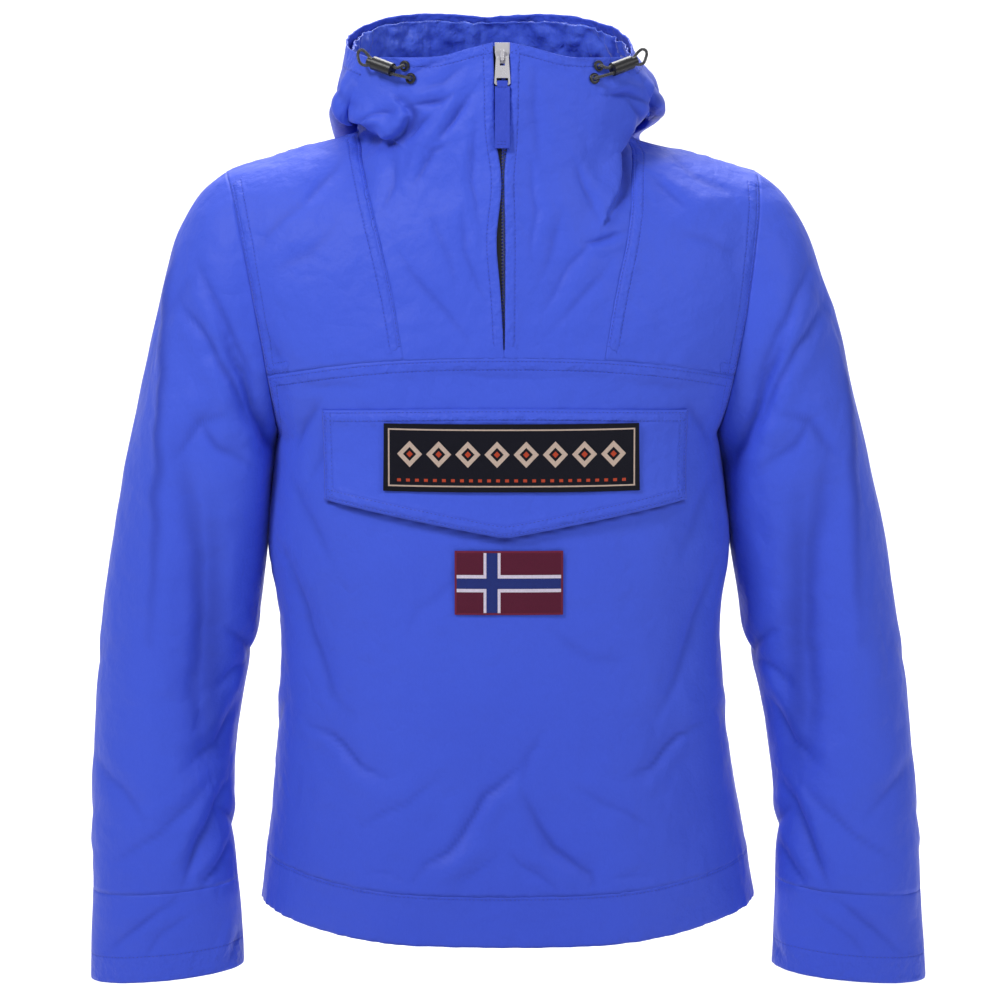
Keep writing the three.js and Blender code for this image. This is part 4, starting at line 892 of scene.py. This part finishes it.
def nearest_in(points, targets):
    """For each point, which target is nearest and how far away it is."""
    tree = KDTree(len(targets))
    for i, target in enumerate(targets):
        tree.insert(target, i)
    tree.balance()
    found = [tree.find(p) for p in points]
    return np.array([f[1] for f in found]), np.array([f[2] for f in found])


def seam_attribute(mesh, distance, rows):
    """Stores the distance to the stitched edge. A single row's is moved so that it reads as the
    second row's, and the first row's groove never shows."""
    if len(rows) == 1:
        distance = np.maximum(distance - rows[0] + STITCH_ROWS[1], (STITCH_ROWS[0] + STITCH_ROWS[1]) / 2)
    attribute = mesh.attributes.new("seam", "FLOAT", "POINT")
    attribute.data.foreach_set("value", distance)


# %% [markdown]
# Near its edges a piece puckers, as cloth does where a tight row of stitches draws it in: the pucker's
# height comes from the nearest point of the edge, so that it runs straight away from the seam. The
# borders of two pieces that are sewn together then meet half way, except along the zip, because each
# piece's own folds would leave steps there. An edge sinks a little into its seam, apart from the
# hood's own seam, where both sides share one shading and it hardly shows.

# %% Cloth pieces
def creased(cloth):
    """A cloth's skin with its folds, and what the next steps need to know of it."""
    piece = smoothed(outer_skin(cloth.node, cloth.way), "cloth_" + cloth.node, cloth.levels)
    mesh = piece.data
    base, normals = mesh_arrays(mesh)
    chains, outward = edge_facts(mesh)
    border = np.array(sorted(outward))
    near, distance = nearest_in(base, base[border])
    wobble = noise_at(base, 26)
    grip = NECK_GRIP if cloth.creases is NECK_CREASES else SEAM_GRIP
    free = grip + (1 - grip) * (1 - hump(distance, GRIP_REACH))
    moved = np.zeros_like(base)
    painted_shade = np.zeros(len(base))
    for crease in cloth.creases:
        move, line = folded(crease, base, normals, wobble, cloth.mirrored)
        moved += move * free[:, None]
        painted_shade = np.maximum(painted_shade, line * free)
    height = cloth.rumple * (noise_at(base, RUMPLE_WAVES[0], 3) + 0.5 * noise_at(base, RUMPLE_WAVES[1], 8))
    seam_noise = noise_at(base[border], PUCKER_WAVE, 5)
    height += cloth.pucker * np.exp(-distance / PUCKER_REACH) * seam_noise[near]
    height += swollen(base)
    if cloth.creases is NECK_CREASES:
        height += ring_crinkles(base)
    if cloth.node == "pocket_flap":
        height -= sewn_down(base, border)
    # Painted shadow: a thin dark line on the body just under the pocket flap's free lower edge.
    if cloth.node == "front_lower":
        under = np.abs(flat_offset(FLAP_LINE, base[:, [0, 2]] + (0, 1.2))[0])
        painted_shade = np.maximum(painted_shade, 1.5 * hump(under, FLAP_SHADOW))
    now = base + moved + pushed(base) + normals * height[:, None]
    # The attribute fold carries this painted shade to the nylon's colour.
    mesh.attributes.new("fold", "FLOAT", "POINT").data.foreach_set("value", painted_shade)
    return Skin(cloth, piece, base, normals, now, chains, outward, border, near, distance)


def brought_together(skin, others):
    """The skin's points, with each border moved half way to its neighbour's."""
    their_base = np.concatenate([o.base[o.border] for o in others])
    their_now = np.concatenate([o.now[o.border] for o in others])
    which, gap = nearest_in(skin.base[skin.border], their_base)
    step = (their_now[which] - skin.now[skin.border]) / 2  # half way, as the neighbour does the rest
    at_zip = np.array([abs(x) < ZIP_HALF_WIDTH and z > ZIP_END for x, y, z in skin.base[skin.border]])
    step[(gap > MEETING) | at_zip] = 0
    return skin.now + step[skin.near] * hump(skin.distance, MEETING_REACH)[:, None]


def finished(skin, points):
    """The piece at these points, with its edges sunk, its stitches noted and its thickness added."""
    cloth, mesh, outward = skin.cloth, skin.piece.data, skin.outward
    sharp = [i for i in skin.border if not soft_edge(*skin.base[i])]
    if sharp:
        depth = EDGE_DOWN * hump(nearest_in(skin.base, skin.base[sharp])[1], EDGE_WIDTH)
        points = points - skin.normals * depth[:, None]
    for index, way in outward.items():
        points[index] += np.array(way) * EDGE_OUT
    mesh.vertices.foreach_set("co", (points * MM).ravel())
    stitched = [i for i in outward if cloth.stitched and cloth.stitched(*points[i])]
    from_row = np.full(len(points), NEVER)
    if stitched:
        which, distance = nearest_in(points, points[stitched])
        inwards = -np.array([outward[i] for i in stitched])[which]
        straight = ((points - points[stitched][which]) * inwards).sum(axis=1)
        from_row = np.where((straight > STRAIGHT * distance) | (distance < 0.3), distance, NEVER)
    seam_attribute(mesh, from_row, cloth.rows if stitched else STITCH_ROWS)
    mesh.update()
    sew(skin.piece, skin.chains, outward, set(stitched), cloth.rows)
    return walled(skin.piece, CLOTH)


def shaded_across(skins):
    """Gives the borders of the hood's own seam one shared shading on both pieces."""
    facts = []
    for skin in skins:
        soft = np.array([i for i in skin.border if soft_edge(*skin.base[i])], int)
        facts.append((soft, skin.base[soft], mesh_arrays(skin.piece.data)[1]))
    for k, skin in enumerate(skins):
        soft, places, normals = facts[k]
        their_places = np.concatenate([f[1] for j, f in enumerate(facts) if j != k])
        their_normals = np.concatenate([f[2][f[0]] for j, f in enumerate(facts) if j != k])
        which, gap = nearest_in(places, their_places)
        shared = normals.copy()
        shared[soft[gap < MEETING]] += their_normals[which[gap < MEETING]]
        shared /= np.linalg.norm(shared, axis=1)[:, None]
        skin.piece.data.normals_split_custom_set_from_vertices(shared.tolist())


# %% [markdown]
# ## Stitches
# A stitch is a short grain of thread. One small grain is modelled, and its copies are laid along each
# row, a step apart, snapped to the creased cloth and turned along the row. Bump alone would look flat
# where the cloth turns away.

# %% Stitches
STITCH_STEP = 3.4
STITCH_SIZE = (1.15, 0.27, 0.24)  # half its length, width and height
stitch_places = []


def surface_of(piece):
    """A tree that finds the nearest place on a piece."""
    surface = bmesh.new()
    surface.from_mesh(piece.data)
    tree = BVHTree.FromBMesh(surface)
    surface.free()
    return tree


def sew(piece, chains, outward, stitched, rows):
    """Notes where the stitches of a piece's rows lie."""
    tree = surface_of(piece)
    verts = piece.data.vertices
    for chain, closed in chains:
        loop = chain + [chain[0]] if closed else chain
        for row in rows:
            line = [verts[i].co - outward[i] * row * MM if i in stitched else None for i in loop]
            spare = 0.0
            for start, end in zip(line, line[1:]):
                if start is None or end is None:
                    continue
                length = (end - start).length / MM
                while spare < length and length > 0.01:
                    place, normal, _, _ = tree.find_nearest(start.lerp(end, spare / length))
                    stitch_places.append((place, normal, (end - start).normalized()))
                    spare += STITCH_STEP
                spare -= length


def walled(piece, thickness):
    """Gives a skin its thickness, inwards, and smooth shading."""
    wall = piece.modifiers.new("wall", "SOLIDIFY")
    wall.thickness = thickness * MM
    wall.offset = -1
    with_modifiers_applied(piece)
    piece.data.shade_smooth()
    return piece


def laid_copies(name, template, places):
    """One mesh of a template's copies, each turned and moved by its matrix."""
    verts = np.array([v.co for v in template.verts])
    faces = [[v.index for v in f.verts] for f in template.faces]
    placed = [verts @ np.array(m.to_3x3()).T + np.array(m.translation) for m in places]
    all_faces = [[i + k * len(verts) for i in f] for k in range(len(places)) for f in faces]
    mesh = bpy.data.meshes.new(name)
    mesh.from_pydata(np.concatenate(placed).tolist(), [], all_faces)
    mesh.shade_smooth()
    return shown(name, mesh)


def turned_to(place, out, along):
    """The matrix that lays a copy at a place, with its x along the row and its z out of the cloth."""
    along = (along - out * along.dot(out)).normalized()
    return Matrix.Translation(place) @ Matrix((along, out.cross(along), out)).transposed().to_4x4()


# %% [markdown]
# ## The cut pieces
# One row for each piece or pair: which way its outside faces, its creases, how finely it is smoothed,
# how much it rumples and puckers, its rows of stitches and which of its edges they follow, and the
# size of its cut, the area of the cut where it isn't a rectangle, and how it is held.

# %% The table of cloth pieces
def chest_seam(x, y, z):
    return (z > -198 and abs(x) < 186) or (abs(x) > 166 and -262 < z < -184)


def yoke_seams(x, y, z):
    return (abs(x) < 134 and z > -170) or (abs(x) > 176 and z < -42)


def zip_edge(x, y, z):
    return (abs(x) < 14 and z > -166) or z > 57


def armholes(x, y, z):
    return abs(x) > 176 and z > -262


def face_edge(x, y, z):
    return z > 62


def cuff_hem(x, y, z):
    return z < -690


def whole_edge(x, y, z):
    return True


def hem_top(x, y, z):
    return z > -634


FRONT, BACK = (0, -1, 0), (0, 1, 0)
BODY = BODY_CREASES


def pair(node, way, creases, *rest):
    """The left and the right piece of one cut. A sleeve or cuff faces its own side, and the left one
    mirrors the creases."""
    sided = way[0] != 0
    return [Cloth(node + "_left", (-way[0], *way[1:]), creases, sided, *rest),
            Cloth(node + "_right", way, creases, False, *rest)]


CLOTHS = [
    Cloth("front_lower", FRONT, BODY, False, 3, 0.9, 0.7, (3, 10), chest_seam, (0.56, 0.49), 0.243, "hung"),
    Cloth("back", BACK, BODY, False, 3, 1.2, 0.8, (7,), armholes, (0.56, 0.70), 0.36, "hung"),
    Cloth("hem_band", FRONT, BODY, False, 3, 0.7, 2.2, (2.5,), hem_top, (1.10, 0.045), None, "hung"),
    *pair("yoke", FRONT, BODY, 3, 0.9, 0.9, (1.8, 10), yoke_seams, (0.15, 0.24), 0.027, "hung"),
    *pair("inset", FRONT, NECK_CREASES, 4, 1.0, 0.6, (8,), zip_edge, (0.14, 0.28), 0.03, "hung"),
    *pair("hood", BACK, NECK_CREASES, 3, 1.8, 0.8, (16,), face_edge, (0.27, 0.36), 0.066, "gathered"),
    *pair("sleeve", (-1, 0, 0), SLEEVE_CREASES, 3, 1.2, 0.9, (7,), None, (0.50, 0.60), 0.235, "hung"),
    *pair("cuff", (-1, 0, 0), SLEEVE_CREASES, 3, 0.9, 0.9, (22,), cuff_hem, (0.37, 0.085), None, "hung"),
    Cloth("pocket_flap", FRONT, [], False, 3, 0.5, 0.5, (2.5, 9), whole_edge, (0.30, 0.105), 0.028, "hung"),
]
print("cut pieces", len(CLOTHS))

# %% [markdown]
# Each piece gets its material, rides on a body, and hides the node of the frame that it stands in
# for. All the skins are creased first, because a border can only meet its neighbour's once both
# have their folds.

# %% Dressing the frame
def declare(piece, node, material, body="garment"):
    """Gives a piece its material, hangs it on a body, and hides the frame's node that it stands in for, if
    there is one.
    """
    piece.data.materials.clear()
    piece.data.materials.append(material)
    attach(piece, body)
    if node:
        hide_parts(node)


skins = [creased(cloth) for cloth in CLOTHS]
sewn = [skin for skin in skins if skin.cloth.node != "pocket_flap"]
joined = [brought_together(skin, [o for o in sewn if o is not skin]) for skin in skins]
for skin, points in zip(skins, joined):
    cloth = skin.cloth
    piece = finished(skin, points if cloth.node != "pocket_flap" else skin.now)
    declare(piece, cloth.node, shell_cloth)
    area = sum(p.area for p in piece.data.polygons) / 2
    print(cloth.node, "faces", len(piece.data.polygons), "skin area m2", round(area, 4))
shaded_across([skin for skin in skins if skin.cloth.creases is NECK_CREASES])

# %% [markdown]
# The thread is a shade darker than the cloth. A grain has only eight faces, as there are thousands of
# them, and all the stitches together are one piece.

# %% Sewing them
def sewing(name, places, body):
    """One piece of all the stitches at some places."""
    grain = bmesh.new()
    bmesh.ops.create_uvsphere(grain, u_segments=4, v_segments=2, radius=1)
    bmesh.ops.scale(grain, vec=Vector(STITCH_SIZE) * MM, verts=grain.verts)
    laid = laid_copies(name, grain, [turned_to(*place) for place in places])
    grain.free()
    declare(laid, None, thread_blue, body)


sewing("topstitching", stitch_places, "garment")
print("stitches", len(stitch_places))

# %% [markdown]
# ## Lining, patches and tapes
# The lining is crushed by the gathered hood, so it takes a rough noise that only moves it inwards,
# clear of the shell behind it. Modelling each little crease by hand would take long and look no better.

# %% Lining
LINING_RISE = 8.0  # its upper edge is carried up the ring, nearly to the top
LINING_CLEAR = (3.2, 3.5)  # how far it lies from the shell at the edge, and how much more further in
LINING_WALL = 0.7


def crushed(piece, depth):
    """Crushes the lining, and holds it clear of the shell's own creases behind it."""
    points, normals = mesh_arrays(piece.data)
    border = sorted(edge_facts(piece.data)[1])
    top = [i for i in border if points[i][2] > np.median(points[border][:, 2])]
    _, distance = nearest_in(points, points[top])
    points += pushed(points)
    points -= normals * (LINING_CLEAR[0] + LINING_CLEAR[1] * (1 - hump(distance, 14)))[:, None]
    points[:, 2] += LINING_RISE * hump(distance, 16)
    fold = np.abs(noise_at(points * np.array((1, 1, 0.35)), 11, 2)) + 0.5 * np.abs(noise_at(points, 6, 4))
    points -= normals * (depth * fold)[:, None]
    piece.data.vertices.foreach_set("co", (points * MM).ravel())


lining = smoothed(outer_skin("hood_lining", BACK), "hood_lining_cloth", 3)
crushed(lining, 6.5)
walled(lining, LINING_WALL)
declare(lining, "hood_lining", lining_cloth)
print("lining faces", len(lining.data.polygons))

# %% [markdown]
# A patch is thick embroidery with a soft rounded edge, sewn flat on the cloth. It keeps the frame's
# own curve, and a bevel rounds its rim after it has its thickness.

# %% Patches
PATCH_WALL = 1.1
PATCH_ROUNDING = 0.35


def rounded(piece, radius, turn):
    """Rounds the edges where the piece turns by more than some degrees."""
    edge = piece.modifiers.new("edge", "BEVEL")
    edge.width = radius * MM
    edge.segments = 2
    edge.limit_method = "ANGLE"
    edge.angle_limit = math.radians(turn)
    with_modifiers_applied(piece)


def patch(node, material):
    piece = smoothed(outer_skin(node, FRONT), node + "_cloth", 2)
    walled(piece, PATCH_WALL)
    rounded(piece, PATCH_ROUNDING, 30)
    declare(piece, node, material)


patch("label_patch", name_cloth)
patch("flag_patch", flag_cloth)

# %% [markdown]
# The zip's tapes are plain woven ribbons, and only their inner edges show.

# %% Tapes
TAPE_WALL = 0.7


def tape(node):
    piece = smoothed(outer_skin(node, FRONT), node + "_cloth", 1)
    walled(piece, TAPE_WALL)
    declare(piece, node, zip_black)


tape("zip_tape_left")
tape("zip_tape_right")

# %% [markdown]
# ## Zip teeth
# Below the slider the two rows of teeth are locked into each other, left and right in turn. A
# tooth is one small block with rounded edges. Its copies run up the left tape's inner edge, at the
# depth of the tape's front.

# %% Zip teeth
TOOTH = (2.6, 1.5, 1.15)
TOOTH_STEP = 1.35
TOOTH_SIDE = 0.75
TOOTH_BACK = 0.45  # how far its middle lies behind the tape's front
TO_MIDDLE = 1.5  # from the tape's inner edge to the zip's middle line
BAND = 4.0  # the tape's line is read in bands of this height

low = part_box("zip_tape_left")[0]
slider_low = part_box("zip_slider")[0]
block = bmesh.new()
bmesh.ops.create_cube(block, size=1)
bmesh.ops.scale(block, vec=Vector(TOOTH) * MM, verts=block.verts)
bmesh.ops.bevel(block, geom=block.edges, offset=0.25 * MM, segments=1, affect="EDGES", profile=0.5,
                material=-1)
tape_points = mesh_arrays(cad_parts["zip_tape_left"].data)[0]
heights = np.arange(low.z / MM + 1, slider_low.z / MM + 4, TOOTH_STEP)
order = np.argsort(tape_points[:, 2])
front_line = {}
for point in tape_points[order]:
    key = round(point[2] / BAND)
    front_line[key] = min(front_line.get(key, FAR), point[1])
line_z = np.array([key * BAND for key in front_line])
line_y = np.array(list(front_line.values()))
near_band = [tape_points[np.abs(tape_points[:, 2] - z) < BAND + 1] for z in line_z]
line_x = np.array([points[:, 0].min() - TO_MIDDLE for points in near_band])
places = []
for i, z in enumerate(heights):
    x = np.interp(z, line_z, line_x) + (TOOTH_SIDE if i % 2 else -TOOTH_SIDE)
    y = np.interp(z, line_z, line_y) + TOOTH_BACK
    places.append(Matrix.Translation(Vector((x, y, z)) * MM))
teeth = laid_copies("zip_teeth", block, places)
block.free()
teeth.data.shade_flat()
declare(teeth, None, teeth_black)
print("teeth", len(places))

# %% [markdown]
# ## Slider, pull tab, eyelets and cord locks
# These pieces and the tab's strap keep the frame's exact shapes. Real parts have no knife edges, so
# each is copied, cleaned into flat faces, and given small rounded edges.

# %% Rounded copies
FLAT_TURN = math.radians(4)
EDGE_TURN = 32


def rounded_copy(node, name, radius, material, body="garment"):
    copy = bmesh.new()
    copy.from_mesh(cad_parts[node].data)
    bmesh.ops.remove_doubles(copy, verts=copy.verts, dist=0.01 * MM)
    bmesh.ops.dissolve_limit(copy, angle_limit=FLAT_TURN, verts=copy.verts, edges=copy.edges)
    piece = piece_from(copy, name)
    rounded(piece, radius, EDGE_TURN)
    piece.data.shade_smooth()
    shade = piece.modifiers.new("shade", "WEIGHTED_NORMAL")
    shade.keep_sharp = True
    with_modifiers_applied(piece)
    declare(piece, node, material, body)
    return piece


rounded_copy("zip_slider", "zip_slider_metal", 0.3, nickel)
rounded_copy("zip_pull", "zip_pull_metal", 0.22, nickel, "zip_pull")
strap = rounded_copy("pull_strap", "pull_strap_cloth", 0.45, strap_cloth, "zip_pull")


def strap_stitches():
    """A row across the strap near its top, and two near its lower end."""
    tree = surface_of(strap)
    low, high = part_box("pull_strap")
    places = []
    for z in (high.z - 5 * MM, low.z + 4 * MM, low.z + 6.5 * MM):
        for x in np.arange(low.x + 2.4 * MM, high.x - 1.2 * MM, 2.8 * MM):
            place, normal, _, _ = tree.find_nearest(Vector((x, low.y - 4 * MM, z)))
            places.append((place, normal, Vector((1, 0, 0))))
    sewing("strap_stitches", places, "zip_pull")


strap_stitches()
for side in ("left", "right"):
    rounded_copy("cord_lock_" + side, "cord_lock_body_" + side, 0.6, black_plastic)
    for place in ("lower", "upper"):
        node = f"eyelet_{side}_{place}"
        rounded_copy(node, node + "_metal", 0.2, gunmetal)

# %% [markdown]
# ## Drawcords
# Each elastic cord comes out of one eyelet, goes through its lock, turns in a small loop and goes
# back through the lock into the other eyelet. Its route has the same points as the frame's own cord.

# %% Drawcords
CORD_WIDTH = 2.5
CORD_ROUTES = {
    "left": [
        (72.5, -83, 46), (74, -86.5, 46.5), (84.5, -85, 49.5), (88, -83, 50.5), (103.5, -73.5, 56),
        (105.5, -72, 57), (112, -68.5, 58), (114.5, -66.5, 62.5), (115, -66, 67.5), (112.5, -67, 69.5),
        (109, -69, 68), (104, -72, 62.5), (101.5, -74, 61.5), (86, -83.5, 56), (83, -85.5, 54.5),
        (77.5, -83, 56.5), (76, -79.5, 56),
    ],
    "right": [
        (-76.5, -83, 46), (-78, -86.5, 46.5), (-89, -85, 49), (-92.5, -83.5, 50), (-108, -74, 56),
        (-110.5, -72.5, 56.5), (-117, -69, 57.5), (-119.5, -67.5, 62), (-119.5, -67, 67), (-117.5, -68, 69),
        (-114, -70, 67.5), (-109, -73, 62), (-106.5, -74.5, 61), (-90.5, -84, 55.5), (-87.5, -85.5, 54.5),
        (-83, -83, 56.5), (-81.5, -79.5, 56),
    ],
}


def drawcord(side):
    route = [Vector(p) * MM for p in CORD_ROUTES[side]]
    curve = bpy.data.curves.new("drawcord_" + side + "_cord", "CURVE")
    curve.dimensions = "3D"
    curve.bevel_depth = CORD_WIDTH / 2 * MM
    curve.bevel_resolution = 4
    curve.resolution_u = 6
    curve.use_fill_caps = True
    spline = curve.splines.new("BEZIER")
    spline.bezier_points.add(len(route) - 1)
    for knot, place in zip(spline.bezier_points, route):
        knot.co = place
        knot.handle_left_type = knot.handle_right_type = "AUTO"
    cord = shown("drawcord_" + side + "_cord", curve)
    curve.materials.append(cord_black)
    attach(cord, "garment")
    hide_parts("drawcord_" + side)
    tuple(route[0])


drawcord("left")
drawcord("right")

# %% [markdown]
# ## Stage and light
# The stage is a pale floor that curves up behind, like paper in a studio, so that no line shows where
# floor and wall would meet. A soft light comes from the upper left, a weaker one from the right, one
# from above behind the garment and one for the backdrop, all in an even pale sky.

# %% Stage
STAGE_Z = -0.90
STAGE_DEPTH = 4.6
STAGE_WIDTH = 16.0
STAGE_FRONT = -8.0
STAGE_TOP = 4.5
CURVE_STEPS = 8
PALE = (0.93, 0.93, 0.94)


def stage():
    sweep = bmesh.new()
    profile = [(STAGE_FRONT, STAGE_Z), (STAGE_DEPTH - 1, STAGE_Z)]
    for k in range(1, CURVE_STEPS + 1):
        turn = k / CURVE_STEPS * math.pi / 2
        profile.append((STAGE_DEPTH - 1 + math.sin(turn), STAGE_Z + 1 - math.cos(turn)))
    profile.append((STAGE_DEPTH, STAGE_TOP))
    row = [sweep.verts.new((-STAGE_WIDTH / 2, y, z)) for y, z in profile]
    edges = [sweep.edges.new(pair) for pair in zip(row, row[1:])]
    grown = bmesh.ops.extrude_edge_only(sweep, edges=edges)
    moved = [v for v in grown["geom"] if isinstance(v, bmesh.types.BMVert)]
    bmesh.ops.translate(sweep, verts=moved, vec=(STAGE_WIDTH, 0, 0))
    bmesh.ops.recalc_face_normals(sweep, faces=sweep.faces)
    floor = piece_from(sweep, "floor")
    floor.data.shade_smooth()
    floor.data.materials.append(Paint("floor_paper", PALE, 0.9).material)


stage()

# %% [markdown]
# Large lamps give soft shadows. The one from the upper left is the smallest, and it is stronger on the
# cloth than the others, so that each crease has a light and a dark side.

# %% Light
SKY_STRENGTH = 0.25


def soft_light(name, place, target, size, power):
    """A square light; place, target and size are in metres, and power in watts."""
    data = bpy.data.lights.new(name, "AREA")
    data.shape = "SQUARE"
    data.size = size
    data.energy = power
    lamp = shown(name, data)
    lamp.location = place
    lamp.rotation_euler = (Vector(target) - Vector(place)).to_track_quat("-Z", "Y").to_euler()


soft_light("key", (-1.35, -1.5, 1.5), (0, 0, 0.4), 0.6, 44)
soft_light("fill", (1.7, -1.8, 1.0), (0, 0, 0.3), 0.9, 21.5)
soft_light("back", (0.0, 1.6, 1.9), (0, 0, -0.2), 1.2, 30)
soft_light("backdrop", (0.0, 2.0, 3.2), (0, 4.6, 0.2), 3.0, 200)
world = bpy.data.worlds.new("sky")
world.use_nodes = True
sky = world.node_tree.nodes["Background"].inputs
sky["Color"].default_value = (1, 1, 1, 1)
sky["Strength"].default_value = SKY_STRENGTH
bpy.context.scene.world = world
